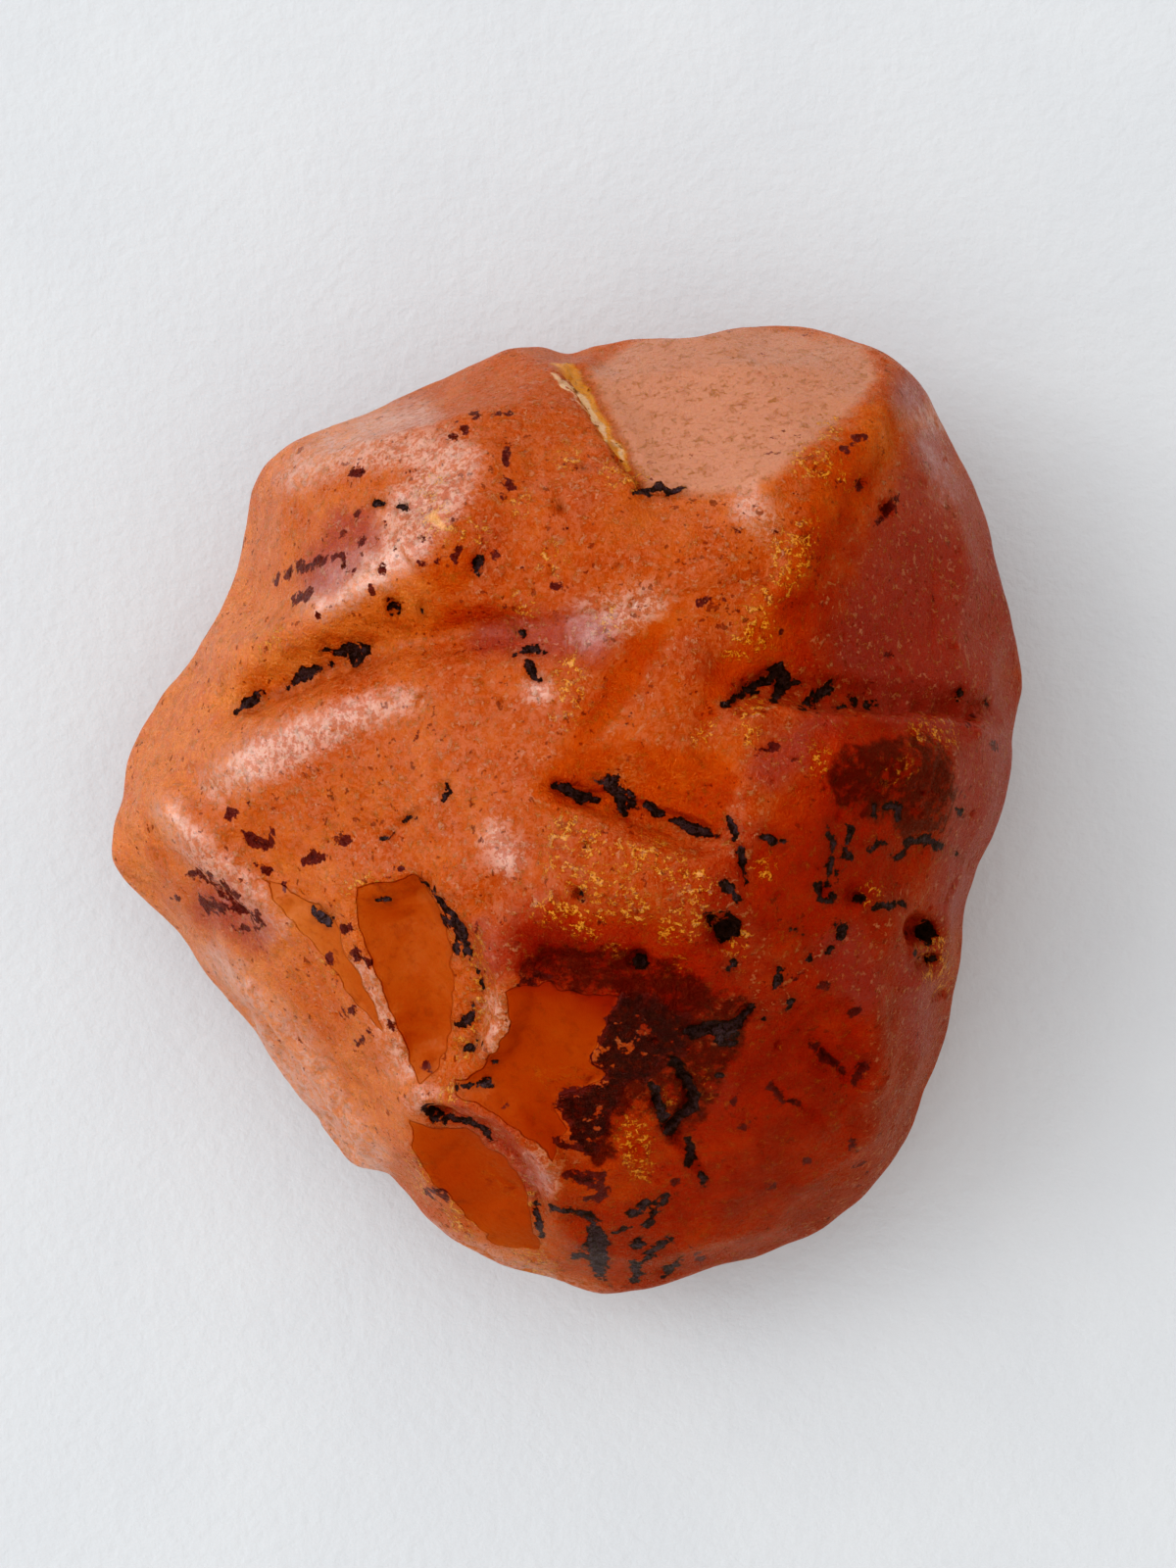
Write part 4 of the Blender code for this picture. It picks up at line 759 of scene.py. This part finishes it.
def relief(places, normals):
    """How far out of the smooth surface each place stands, in metres."""
    seen = seen_by_eye(places, normals)
    above = places[:, 2] / MM
    uneven = wobble(places, 2.2, 0.5, 1)
    gentle = wobble(places, 10.0, 0.3, 8)
    flat, side = laid_out(places)
    level = grooved(flat, LINES, uneven) + grooved(flat, FORMS, gentle)
    level = level + stepped(flat, STEPS) + pitted(flat, PITS)
    level += pitted(flat, small_pits(170, 5))
    bare = in_patches(flat, BARE)
    level -= BARE_DROP * eased(bare, -0.1, 0.2) + CLEAN_DROP * eased(in_patches(flat, CLEAN), -0.3, 0.5)
    level += CRUST_RISE * eased(in_patches(flat, PLUM_CRUST), -0.1, 0.3)
    lumps = wobble(places, 0.8, 1.0, 4)
    level += packed(in_strokes(flat, SOOT), lumps)
    level += (0.05 + 0.14 * lumps) * eased(in_strokes(flat, FLECKS), -0.4, 0.4)
    lower = grooved(side, [(h, w, unrolled([way])[0]) for h, w, way in SIDE_LINES], uneven)
    lower += pitted(side, [(way * ROUND_MM, *rest) for way, *rest in SIDE_PITS])
    lower -= SIDE_BARE_DROP * eased(in_strokes(side, unrolled(SIDE_BARE)), -0.1, 0.22)
    lower += packed(in_strokes(side, unrolled(SIDE_SOOT)), lumps)
    total = seen * level + (1.0 - seen) * lower
    smooth = 1.0 - 0.85 * eased(bare, 0.0, 0.4) * seen
    for number, (size, height) in enumerate(SWELLS):
        total += wobble(places, size, 1.0, 10 + number) * height * smooth
    return total * eased(above, 0.2, 1.5) * MM


def fitted(places, low, high):
    """Places stretched to fill a box exactly, with a flat foot."""
    least, most = places.min(axis=0), places.max(axis=0)
    places = low + (places - least) * (high - low) / (most - least)
    foot = places[:, 2] < low[2] + FOOT * MM
    places[foot, 2] = low[2]
    return places


def nugget():
    """The nugget with its fine relief, as one closed object that fills the solid's box."""
    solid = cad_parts["raw_amber"]
    low, high = (np.array(corner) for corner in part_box("raw_amber"))
    places, corners, pairs = shrunk_ball(solid)
    normals = mesh_normals(places, corners)
    places = places + normals * relief(places, normals)[:, None]
    places = fitted(places, low, high)
    mesh = bpy.data.meshes.new("amber_nugget")
    mesh.from_pydata(places.tolist(), [], corners.tolist())
    fine = bpy.data.objects.new("amber_fine", mesh)
    bpy.context.scene.collection.objects.link(fine)
    thin = fine.modifiers.new("thin", "DECIMATE")
    thin.ratio = TRIANGLES / len(corners)
    drawn = bpy.context.evaluated_depsgraph_get()
    shape = bpy.data.meshes.new_from_object(fine.evaluated_get(drawn))
    bpy.data.objects.remove(fine)
    places = np.array([v.co[:] for v in shape.vertices])
    places = fitted(places, low, high)
    shape.vertices.foreach_set("co", places.ravel())
    shape.shade_smooth()
    shape.update()
    piece = bpy.data.objects.new("amber_nugget", shape)
    bpy.context.scene.collection.objects.link(piece)
    return piece


def toned(flat):
    """The body colour, with painted light and shade, at each place from the tone spots round it, or just past
    orange where none is near.
    """
    weights = np.full(len(flat), 1e-6)
    tones = np.full(len(flat), 1.2e-6)
    for east, south, reach, tone in TONES_WITH_PAINTED_LIGHT_AND_SHADE:
        off = np.linalg.norm(flat - (east, south), axis=1) / reach
        weight = np.exp(-1.6 * off * off)
        weights += weight
        tones += weight * tone
    return tones / weights


def marked(piece):
    """Writes onto the piece how deep each place lies in each kind of mark, in mm, and the body tone with its
    painted light and shade.
    """
    mesh = piece.data
    places = np.array([v.co[:] for v in mesh.vertices])
    normals = np.array([v.vector[:] for v in mesh.vertex_normals])
    seen = seen_by_eye(places, normals)
    flat, side = laid_out(places)
    height = places[:, 2] / MM
    blank = np.full(len(places), AWAY)
    carried = np.maximum(seen, 0.85 * eased(height, 1.0, 17.0))

    def both(upper, lower=blank):
        """A mark of the upper side, and one of the sides below it."""
        return AWAY + (upper - AWAY) * seen + (np.maximum(lower, AWAY) - AWAY) * (1.0 - seen)

    def draping(upper):
        """A mark of the upper side that runs on down the sides."""
        return AWAY + (np.maximum(upper, FAR_AWAY) - AWAY) * carried

    # the sides below the upper marks take a wandering russet tone, darker towards the bottom
    under = 1.35 + wobble(places, 16.0, 1.1, 20) + 0.35 * eased(height, 12.0, 0.0)
    kinds = {
        "soot": both(in_strokes(flat, SOOT), in_strokes(side, unrolled(SIDE_SOOT))),
        "plum": both(np.maximum(in_strokes(flat, PLUM), in_patches(flat, PLUM_CRUST)),
                     in_strokes(side, unrolled(SIDE_PLUM))),
        "oxblood": both(in_patches(flat, OXBLOOD)),
        "bare": both(in_patches(flat, BARE), in_strokes(side, unrolled(SIDE_BARE))),
        "clean": draping(in_patches(flat, CLEAN)),
        "flecks": both(in_strokes(flat, FLECKS), in_strokes(side, unrolled(SIDE_FLECKS))),
        "painted_glare": draping(in_strokes(flat, PAINTED_GLARE_STROKES, 3.0)),
        # thin places that get a painted glow
        "thin": draping(in_strokes(flat, THIN_PLACES_PAINTED_GLOW, -FAR_AWAY)),
        "painted_sheen": draping(in_strokes(flat, PAINTED_SHEEN_STROKES, -FAR_AWAY)),
        "fresh_and_glow": both(in_strokes(flat, FRESH_STRIP_AND_GLOW)),
        "cream": both(in_strokes(flat, CREAM)),
        "tone": toned(flat) * carried + under * (1.0 - carried),
        "facet": both(in_patches(flat, [FACET])),
    }
    for name, values in kinds.items():
        layer = mesh.attributes.new(name, "FLOAT", "POINT")
        layer.data.foreach_set("value", values.astype(np.float32))


# ----------------------------------------------------------------------------------------------------------
# The finish.
# ----------------------------------------------------------------------------------------------------------


class Board:
    """A node board with short ways to add nodes and join them."""

    def __init__(self, tree):
        self.tree = tree
        self.nodes = tree.nodes
        self.links = tree.links

    def put(self, kind, inputs=(), **settings):
        """A node with its settings, and its inputs given as (name or number, value or socket)."""
        node = self.nodes.new(kind)
        for name, value in settings.items():
            setattr(node, name, value)
        for name, value in inputs:
            self.join(value, node.inputs[name])
        return node

    def join(self, value, socket):
        """A socket is linked, and a value set."""
        if isinstance(value, bpy.types.NodeSocket):
            self.links.new(value, socket)
        else:
            socket.default_value = value

    def step(self, kind, first, second=0.0, clamp=False):
        """One step of arithmetic."""
        inputs = [(0, first), (1, second)]
        return self.put("ShaderNodeMath", inputs, operation=kind, use_clamp=clamp).outputs[0]

    def times(self, first, second, clamp=False):
        """A product."""
        return self.step("MULTIPLY", first, second, clamp)

    def plus(self, first, second, clamp=False):
        """A sum."""
        return self.step("ADD", first, second, clamp)

    def minus(self, first, second, clamp=False):
        """A difference."""
        return self.step("SUBTRACT", first, second, clamp)

    def without(self, mask, share=1.0):
        """One, less a share of a mask."""
        return self.minus(1.0, mask if share == 1.0 else self.times(mask, share))

    def ramp(self, value, low, high, start=0.0, end=1.0):
        """The value eased from low and high to start and end."""
        inputs = [("Value", value), ("From Min", low), ("From Max", high), ("To Min", start), ("To Max", end)]
        return self.put("ShaderNodeMapRange", inputs, interpolation_type="SMOOTHSTEP").outputs[0]

    def blend(self, share, first, second, kind="MIX"):
        """Two colours mixed."""
        node = self.put("ShaderNodeMix", [(0, share)], data_type="RGBA", blend_type=kind)
        self.join(first, node.inputs[6])
        self.join(second, node.inputs[7])
        return node.outputs[2]

    def clouds(self, spot, size, detail=3.0, roughness=0.6):
        """Soft noise with features of a size in metres, from 0 to 1."""
        inputs = [("Vector", spot), ("Scale", 1.0 / size), ("Detail", detail), ("Roughness", roughness)]
        return self.put("ShaderNodeTexNoise", inputs).outputs["Fac"]

    def mark(self, name):
        """A kind of mark from the mesh."""
        return self.put("ShaderNodeAttribute", attribute_name=name).outputs["Fac"]


def group(name, takes, gives):
    """An empty node group with inputs, {name: usual value, or None for a place}, and number outputs."""
    tree = bpy.data.node_groups.new(name, "ShaderNodeTree")
    for word, usual in takes.items():
        kind = "NodeSocketVector" if usual is None else "NodeSocketFloat"
        socket = tree.interface.new_socket(word, in_out="INPUT", socket_type=kind)
        if usual is not None:
            socket.default_value = usual
    for word in gives:
        tree.interface.new_socket(word, in_out="OUTPUT", socket_type="NodeSocketFloat")
    board = Board(tree)
    return board, board.put("NodeGroupInput").outputs, board.put("NodeGroupOutput").inputs


def ragged_mask():
    """Where a mark shows: its depth in millimetres, shaken by grain, crosses an edge."""
    takes = {"Spot": None, "Inside": 0.0, "Edge": 0.0, "Softness": 0.15, "Shake": 0.5, "Grain": 0.0006}
    board, took, gave = group("ragged_mask", takes, ["Mask"])
    size = board.step("DIVIDE", 1.0, took["Grain"])
    inputs = [("Vector", took["Spot"]), ("Scale", size), ("Detail", 4.0), ("Roughness", 0.65)]
    rough = board.put("ShaderNodeTexNoise", inputs).outputs["Fac"]
    shaken = board.times(board.minus(rough, 0.5), took["Shake"])
    depth = board.minus(board.plus(took["Inside"], shaken), took["Edge"])
    low = board.times(took["Softness"], -1.0)
    board.join(board.ramp(depth, low, took["Softness"]), gave["Mask"])
    return board.tree


HONEY = (0.82, 0.255, 0.085, 1.0)
ORANGE = (0.575, 0.090, 0.001, 1.0)
RUSSET = (0.43, 0.034, 0.0005, 1.0)
DARK_RUSSET = (0.255, 0.0095, 0.0005, 1.0)
PINK_BLOOM_AND_SHEEN = (0.66, 0.168, 0.082, 1.0)
DARK_BLOOM_AND_SHEEN = (0.40, 0.050, 0.022, 1.0)
PALE_GLARE_PINK = (0.82, 0.405, 0.28, 1.0)
FACET_TAN_AND_SHEEN = (0.57, 0.245, 0.152, 1.0)
DUST = (0.16, 0.045, 0.030, 1.0)
STRAW = (0.98, 0.42, 0.085, 1.0)
CREAM_WHITE = (1.0, 0.60, 0.35, 1.0)
OXBLOOD_RED = (0.115, 0.004, 0.0008, 1.0)
PLUM_BROWN = (0.054, 0.0042, 0.014, 1.0)
PAINTED_SHEEN_MAUVE = (0.39, 0.055, 0.056, 1.0)
PURPLE = (0.135, 0.018, 0.028, 1.0)
SOOT_BLACK = (0.036, 0.017, 0.029, 1.0)
SLATE = (0.088, 0.058, 0.084, 1.0)
RUST = (0.27, 0.030, 0.005, 1.0)
BLACK = (0.0, 0.0, 0.0, 1.0)

# Sizes of the noise that the finish is built from, in metres.
DRIFT, PATCHES, GRAINS, FINEST = 0.009, 0.0032, 0.0009, 0.00044


def blank_material(name):
    """A material with nothing on its board, and the board."""
    material = bpy.data.materials.new(name)
    material.use_nodes = True
    board = Board(material.node_tree)
    board.nodes.clear()
    return material, board


def amber_finish():
    """Weathered amber: glowing body, pale granular bloom, bare windows, stains, crumbs and packed dirt."""
    material, board = blank_material("weathered_amber")
    ragged = ragged_mask()
    spot = board.put("ShaderNodeTexCoord").outputs["Object"]

    def ragged_of(name, edge=0.0, softness=0.15, shake=0.5, grain=0.0007):
        """Where a kind of mark shows, with a ragged edge."""
        inputs = [("Spot", spot), ("Inside", board.mark(name)), ("Edge", edge), ("Softness", softness),
                  ("Shake", shake), ("Grain", grain)]
        return board.put("ShaderNodeGroup", inputs, node_tree=ragged).outputs["Mask"]

    drift = board.clouds(spot, DRIFT, 3.0)
    patchy = board.clouds(spot, PATCHES, 4.0, 0.62)
    grain = board.clouds(spot, GRAINS, 5.0, 0.7)
    fine = board.clouds(spot, FINEST, 4.0, 0.7)

    # the body, from honey to dark russet, even in the bare windows; its tone is partly painted light and
    # shade, lighter on the west and darker on the east and south
    bare = ragged_of("bare", softness=0.08, shake=0.35)
    uneven = board.plus(board.ramp(drift, 0.25, 0.75, -0.3, 0.3), board.ramp(patchy, 0.25, 0.75, -0.28, 0.28))
    uneven = board.times(uneven, board.without(bare, 0.75))
    tone = board.plus(board.mark("tone"), uneven)
    # thin places are painted towards honey, a painted glow for the light they pass
    tone = board.minus(tone, board.ramp(board.mark("thin"), FAR_AWAY, 1.5, 0.0, 0.7))
    stops = board.put("ShaderNodeValToRGB", [("Fac", board.step("DIVIDE", tone, 3.0))])
    ramp = stops.color_ramp
    ramp.elements[0].color = HONEY
    ramp.elements[1].color = DARK_RUSSET
    ramp.elements.new(0.34).color = ORANGE
    ramp.elements.new(0.68).color = RUSSET
    body = stops.outputs["Color"]

    # the pale bloom, granular: partly the crust's own weathered colour and partly painted sheen, kept off worn
    # and bare places
    clean = ragged_of("clean", softness=0.8, shake=2.0, grain=0.002)
    painted_glare = ragged_of("painted_glare", edge=-0.6, softness=1.6, shake=2.0, grain=0.0016)
    grainy = board.ramp(board.plus(board.times(grain, 0.55), board.times(fine, 0.45)), 0.45, 0.55)
    cover = board.ramp(board.plus(board.times(patchy, 0.6), board.times(drift, 0.4)), 0.3, 0.68, 0.30, 0.95)
    cover = board.plus(cover, board.times(painted_glare, 0.3))
    keep = board.times(board.without(clean, 0.95), board.without(bare))
    cover = board.times(cover, keep, clamp=True)
    veil = board.times(cover, board.ramp(grainy, 0.0, 1.0, 0.2, 1.0), clamp=True)
    # the bloom darkens with the tone, so it carries the tone's painted shade on the east and south
    dark = board.ramp(tone, 1.1, 2.4)
    bloom_and_sheen = board.blend(dark, PINK_BLOOM_AND_SHEEN, DARK_BLOOM_AND_SHEEN)
    colour = board.blend(board.times(veil, 0.9), body, bloom_and_sheen)
    # the facet's tan is partly painted sheen
    facet = ragged_of("facet", softness=0.8)
    colour = board.blend(board.times(facet, 0.9), colour, FACET_TAN_AND_SHEEN)
    # painted highlight: the whitest pink is painted where the glare falls
    painted_glare_share = board.times(painted_glare, board.ramp(grainy, 0.25, 0.9, 0.12, 0.72))
    painted_glare_share = board.times(painted_glare_share, board.without(bare))
    colour = board.blend(painted_glare_share, colour, PALE_GLARE_PINK)

    # painted sheen: a mauve reflection painted on the shaded sides
    painted_sheen = ragged_of("painted_sheen", edge=-0.8, softness=1.6, shake=2.4, grain=0.0024)
    painted_sheen_share = board.times(board.times(painted_sheen, 0.86), board.ramp(fine, 0.2, 0.7, 0.5, 1.0))
    colour = board.blend(painted_sheen_share, colour, PAINTED_SHEEN_MAUVE)

    # bare windows stay saturated and a little darker
    colour = board.blend(board.times(board.without(keep), 0.5), colour, body)
    colour = board.blend(board.times(bare, 0.26), colour, BLACK)

    # fresh amber and cream on the riser; the strip's yellow is partly painted glow
    fresh_and_glow = ragged_of("fresh_and_glow", softness=0.25)
    colour = board.blend(board.times(fresh_and_glow, 0.75), colour, STRAW)
    cream = ragged_of("cream", softness=0.12, shake=0.3)
    colour = board.blend(cream, colour, CREAM_WHITE)

    # crumbly flecks in branching veins, rust round them. The mask stays near 0.13 far from the strokes, so
    # traces of both show all over.
    flecky = ragged_of("flecks", edge=-0.9, softness=1.1, shake=1.8, grain=0.0014)
    rusty = board.ramp(board.clouds(spot, 0.0014, 4.0, 0.7), 0.5, 0.64)
    colour = board.blend(board.times(rusty, board.times(flecky, 0.7)), colour, RUST)
    branching = board.step("ABSOLUTE", board.minus(board.clouds(spot, 0.0012, 5.0, 0.74), 0.5))
    width = board.plus(board.times(flecky, 0.045), -0.004)
    crumb = board.ramp(board.minus(width, branching), -0.008, 0.008)
    broken = board.ramp(board.clouds(spot, 0.0007, 2.0, 0.7), 0.46, 0.57)
    crumb = board.times(crumb, broken)
    crumb = board.times(crumb, board.ramp(flecky, 0.04, 0.22))
    crumb = board.times(crumb, board.without(bare, 0.9))
    colour = board.blend(board.times(crumb, 0.85), colour, STRAW)

    # pale grains and pores all over the crust; the pale grains are partly painted glints
    crusty = board.times(board.without(bare), board.without(facet))
    pale_grains_and_glints = board.ramp(board.clouds(spot, 0.0007, 2.0, 0.72), 0.58, 0.64)
    pale_grains_and_glints = board.times(board.times(pale_grains_and_glints, board.times(cover, crusty)), 0.45)
    colour = board.blend(pale_grains_and_glints, colour, PALE_GLARE_PINK)
    crowded = board.ramp(board.clouds(spot, 0.006, 2.0), 0.42, 0.62, 0.0, 0.035)
    pores = board.plus(board.clouds(spot, 0.0010, 2.0, 0.66), crowded)
    pores = board.times(board.ramp(pores, 0.685, 0.71), crusty)
    colour = board.blend(board.times(pores, 0.75), colour, RUST)

    # stains and dirt
    oxblood = ragged_of("oxblood", softness=0.5, shake=5.0, grain=0.0034)
    blotchy = board.ramp(board.clouds(spot, 0.0015, 4.0, 0.7), 0.36, 0.54, 0.25, 1.0)
    oxblood = board.times(oxblood, blotchy)
    colour = board.blend(board.times(oxblood, 0.90), colour, OXBLOOD_RED)
    plum = ragged_of("plum", edge=-0.16, softness=0.10, shake=3.0, grain=0.0016)
    breaks = board.ramp(board.clouds(spot, 0.0022, 3.0, 0.72), 0.57, 0.61, 0.0, 0.8)
    plum = board.times(plum, board.without(breaks))
    places_for_specks = board.ramp(board.clouds(spot, 0.007, 3.0), 0.46, 0.58)
    specks = board.ramp(board.clouds(spot, 0.0017, 5.0, 0.7), 0.63, 0.66)
    specks = board.times(board.times(specks, places_for_specks), board.without(bare))
    plum = board.step("MAXIMUM", plum, board.times(specks, 0.85))
    thick = board.ramp(board.plus(board.mark("plum"), board.ramp(grain, 0.3, 0.7, -0.3, 0.3)), 0.1, 0.7)
    plum_colour = board.blend(thick, PURPLE, PLUM_BROWN)
    ruddy = board.times(board.ramp(board.clouds(spot, 0.0010, 4.0, 0.7), 0.52, 0.60), 0.75)
    plum_colour = board.blend(ruddy, plum_colour, OXBLOOD_RED)
    colour = board.blend(board.times(plum, board.ramp(grain, 0.3, 0.6, 0.9, 1.0)), colour, plum_colour)
    halo = ragged_of("soot", edge=-0.55, softness=0.5, shake=2.4, grain=0.0012)
    colour = board.blend(board.times(halo, 0.25), colour, DUST)
    soot = ragged_of("soot", edge=-0.07, softness=0.05, shake=2.0, grain=0.0010)
    deep = ragged_of("soot", edge=0.06, softness=0.10, shake=1.4, grain=0.0008)
    ashy = board.times(deep, board.ramp(board.clouds(spot, 0.0006, 2.0, 0.7), 0.36, 0.52))
    soot_colour = board.blend(ashy, SOOT_BLACK, SLATE)
    colour = board.blend(soot, colour, soot_colour)

    # gloss
    stained = board.step("MAXIMUM", board.step("MAXIMUM", plum, soot), board.times(oxblood, 0.7))
    glaze = board.times(keep, board.without(stained))
    glaze = board.times(glaze, board.ramp(grain, 0.35, 0.6, 0.6, 1.0))
    glaze = board.times(glaze, board.plus(board.times(painted_glare, 0.88), 0.12), clamp=True)
    rough = board.ramp(fine, 0.35, 0.65, 0.24, 0.44)
    rough = board.plus(rough, board.times(veil, 0.06))
    rough = board.plus(rough, board.times(bare, 0.24))
    rough = board.minus(rough, board.times(clean, 0.06))
    rough = board.minus(rough, board.times(plum, 0.08), clamp=True)

    # grain too fine for the mesh
    crust = board.times(board.without(bare, 0.85), board.without(facet, 0.75))
    bumps = board.plus(board.times(fine, 0.9), board.times(grain, 0.6))
    bumps = board.times(bumps, crust)
    bumps = board.plus(bumps, board.times(soot, board.ramp(fine, 0.0, 1.0, -0.35, 0.15)))
    bumps = board.plus(bumps, board.times(crumb, 0.4))
    bumps = board.minus(bumps, board.times(pores, 0.5))
    bumps = board.plus(bumps, board.times(pale_grains_and_glints, 0.4))
    bump = board.put("ShaderNodeBump", [("Strength", 1.0), ("Distance", 0.0005), ("Height", bumps)])

    shader = board.put("ShaderNodeBsdfPrincipled", [
        ("Base Color", colour), ("Roughness", rough), ("IOR", 1.54), ("Subsurface Weight", 0.22),
        ("Subsurface Radius", (1.0, 0.32, 0.08)), ("Subsurface Scale", 0.0022),
        ("Normal", bump.outputs["Normal"]), ("Coat Weight", glaze), ("Coat Roughness", 0.42),
        ("Coat IOR", 1.55), ("Specular IOR Level", 0.19),
    ])
    board.put("ShaderNodeOutputMaterial", [("Surface", shader.outputs["BSDF"])])
    return material


# ----------------------------------------------------------------------------------------------------------
# The studio.
# ----------------------------------------------------------------------------------------------------------

WINDOW = {"bearing": 290.0, "elevation": 50.0, "distance": 1.6, "size": 0.60, "power": 4.1}
WINDOW_COLOUR = (0.97, 0.99, 1.0)

# Panels that show in gloss alone: name, bearing and elevation in degrees, size in metres, and power.
GLEAMS = [("window_gleam", 278.0, 24.0, 1.2, 32.0), ("north_gleam", 340.0, 26.0, 1.1, 18.0)]
GLEAM_DISTANCE = 1.5
GLEAM_COLOUR = (1.0, 0.98, 0.97)

# The room: where its side light comes from, the light it adds there and overhead, and its strength, which is
# less in gloss.
SIDE_LIGHT_FROM = (292.0, 20.0)
SIDE_LIGHT = (0.68, 0.72, 0.76, 1.0)
OVERHEAD_LIGHT = (1.0, 0.98, 0.95, 1.0)
ROOM_STRENGTH, ROOM_STRENGTH_IN_GLOSS = 1.06, 0.28

FLOOR_SHADES = [(0.680, 0.702, 0.730, 1.0), (0.705, 0.726, 0.750, 1.0)]
FLOOR_HALF = 4.0  # metres

# Light and how it shows, for green (1), blue (2) and all colours (3).
TOES = {
    1: [(0.01, 0.006), (0.03, 0.022), (0.08, 0.073), (0.2, 0.195)],
    2: [(0.01, 0.0012), (0.02, 0.004), (0.04, 0.018), (0.08, 0.056), (0.2, 0.185), (0.5, 0.495)],
    3: [(0.02, 0.0044), (0.05, 0.018), (0.1, 0.055), (0.2, 0.147), (0.35, 0.300), (0.6, 0.566)],
}


def plaster_floor():
    """A wide pale matt floor."""
    material, board = blank_material("pale_plaster")
    spot = board.put("ShaderNodeTexCoord").outputs["Object"]
    cloudy = board.ramp(board.clouds(spot, 0.03, 4.0), 0.3, 0.7)
    colour = board.blend(cloudy, *FLOOR_SHADES)
    pitted_height = board.clouds(spot, 0.0016, 4.0, 0.6)
    bump = board.put("ShaderNodeBump", [("Strength", 0.6), ("Distance", 0.0003), ("Height", pitted_height)])
    shader = board.put("ShaderNodeBsdfPrincipled", [
        ("Base Color", colour), ("Roughness", 0.8), ("Specular IOR Level", 0.0),
        ("Normal", bump.outputs["Normal"]),
    ])
    board.put("ShaderNodeOutputMaterial", [("Surface", shader.outputs["BSDF"])])
    mesh = bpy.data.meshes.new("floor")
    half = FLOOR_HALF
    corners = [(-half, -half, 0), (half, -half, 0), (half, half, 0), (-half, half, 0)]
    mesh.from_pydata(corners, [], [(0, 1, 2, 3)])
    floor = bpy.data.objects.new("floor", mesh)
    floor.data.materials.append(material)
    bpy.context.scene.collection.objects.link(floor)


def towards(bearing, elevation):
    """The way to a bearing, clockwise from north, and an elevation, both in degrees."""
    way, up = np.radians(bearing), np.radians(elevation)
    return np.sin(way) * np.cos(up), np.cos(way) * np.cos(up), np.sin(up)


def soft_light(name, bearing, elevation, distance, size, power, colour):
    """A square soft light that faces the nugget."""
    lamp = bpy.data.lights.new(name, "AREA")
    lamp.shape = "SQUARE"
    lamp.size = size
    lamp.energy = power
    lamp.color = colour
    holder = bpy.data.objects.new(name, lamp)
    holder.location = Vector(towards(bearing, elevation)) * distance
    holder.rotation_euler = (-holder.location).to_track_quat("-Z", "Y").to_euler()
    bpy.context.scene.collection.objects.link(holder)
    return holder


def studio():
    """A cool window in the north-west, in a pale room that is brightest overhead and on the window's side."""
    soft_light("window", **WINDOW, colour=WINDOW_COLOUR)
    for name, bearing, elevation, size, power in GLEAMS:
        gleam = soft_light(name, bearing, elevation, GLEAM_DISTANCE, size, power, GLEAM_COLOUR)
        gleam.visible_diffuse = False
    world = bpy.data.worlds.new("pale_room")
    world.use_nodes = True
    board = Board(world.node_tree)
    spot = board.put("ShaderNodeTexCoord").outputs["Generated"]
    inputs = [(0, spot), (1, towards(*SIDE_LIGHT_FROM))]
    facing = board.put("ShaderNodeVectorMath", inputs, operation="DOT_PRODUCT").outputs["Value"]
    overhead = board.put("ShaderNodeSeparateXYZ", [("Vector", spot)]).outputs["Z"]
    side_light = board.ramp(facing, 0.0, 1.0, 0.0, 1.0)
    room_light = board.ramp(overhead, 0.0, 0.95, 0.48, 0.86)
    cool = board.blend(side_light, BLACK, SIDE_LIGHT)
    warm = board.blend(room_light, BLACK, OVERHEAD_LIGHT)
    colour = board.blend(1.0, cool, warm, "ADD")
    ground = board.nodes["Background"]
    board.join(colour, ground.inputs["Color"])
    in_gloss = board.put("ShaderNodeLightPath").outputs["Is Glossy Ray"]
    strength = board.ramp(in_gloss, 0.0, 1.0, ROOM_STRENGTH, ROOM_STRENGTH_IN_GLOSS)
    board.join(strength, ground.inputs["Strength"])
    bpy.context.scene.world = world


def tone_scale():
    """A plain scale of tones whose darkest part falls off softly."""
    view = bpy.context.scene.view_settings
    view.view_transform = "Standard"
    view.use_curve_mapping = True
    for number, tones in TOES.items():
        curve = view.curve_mapping.curves[number]
        for light, shown in tones:
            curve.points.new(light, shown)
    view.curve_mapping.update()


def overhead_camera():
    """Looking straight down, north up, from the eye that the readings are taken from."""
    lens = bpy.data.cameras.new("overhead")
    lens.lens = 85.0
    lens.sensor_width = 36.0
    lens.sensor_fit = "AUTO"
    camera = bpy.data.objects.new("overhead", lens)
    camera.location = ((EYE[0] - MIDDLE[0]) * MM, (MIDDLE[1] - EYE[1]) * MM, EYE_HEIGHT * MM)
    bpy.context.scene.collection.objects.link(camera)
    bpy.context.scene.camera = camera


amber_nugget = nugget()
marked(amber_nugget)
amber_nugget.data.materials.append(amber_finish())
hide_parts("raw_amber")
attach(amber_nugget, "root")
plaster_floor()
studio()
tone_scale()
overhead_camera()
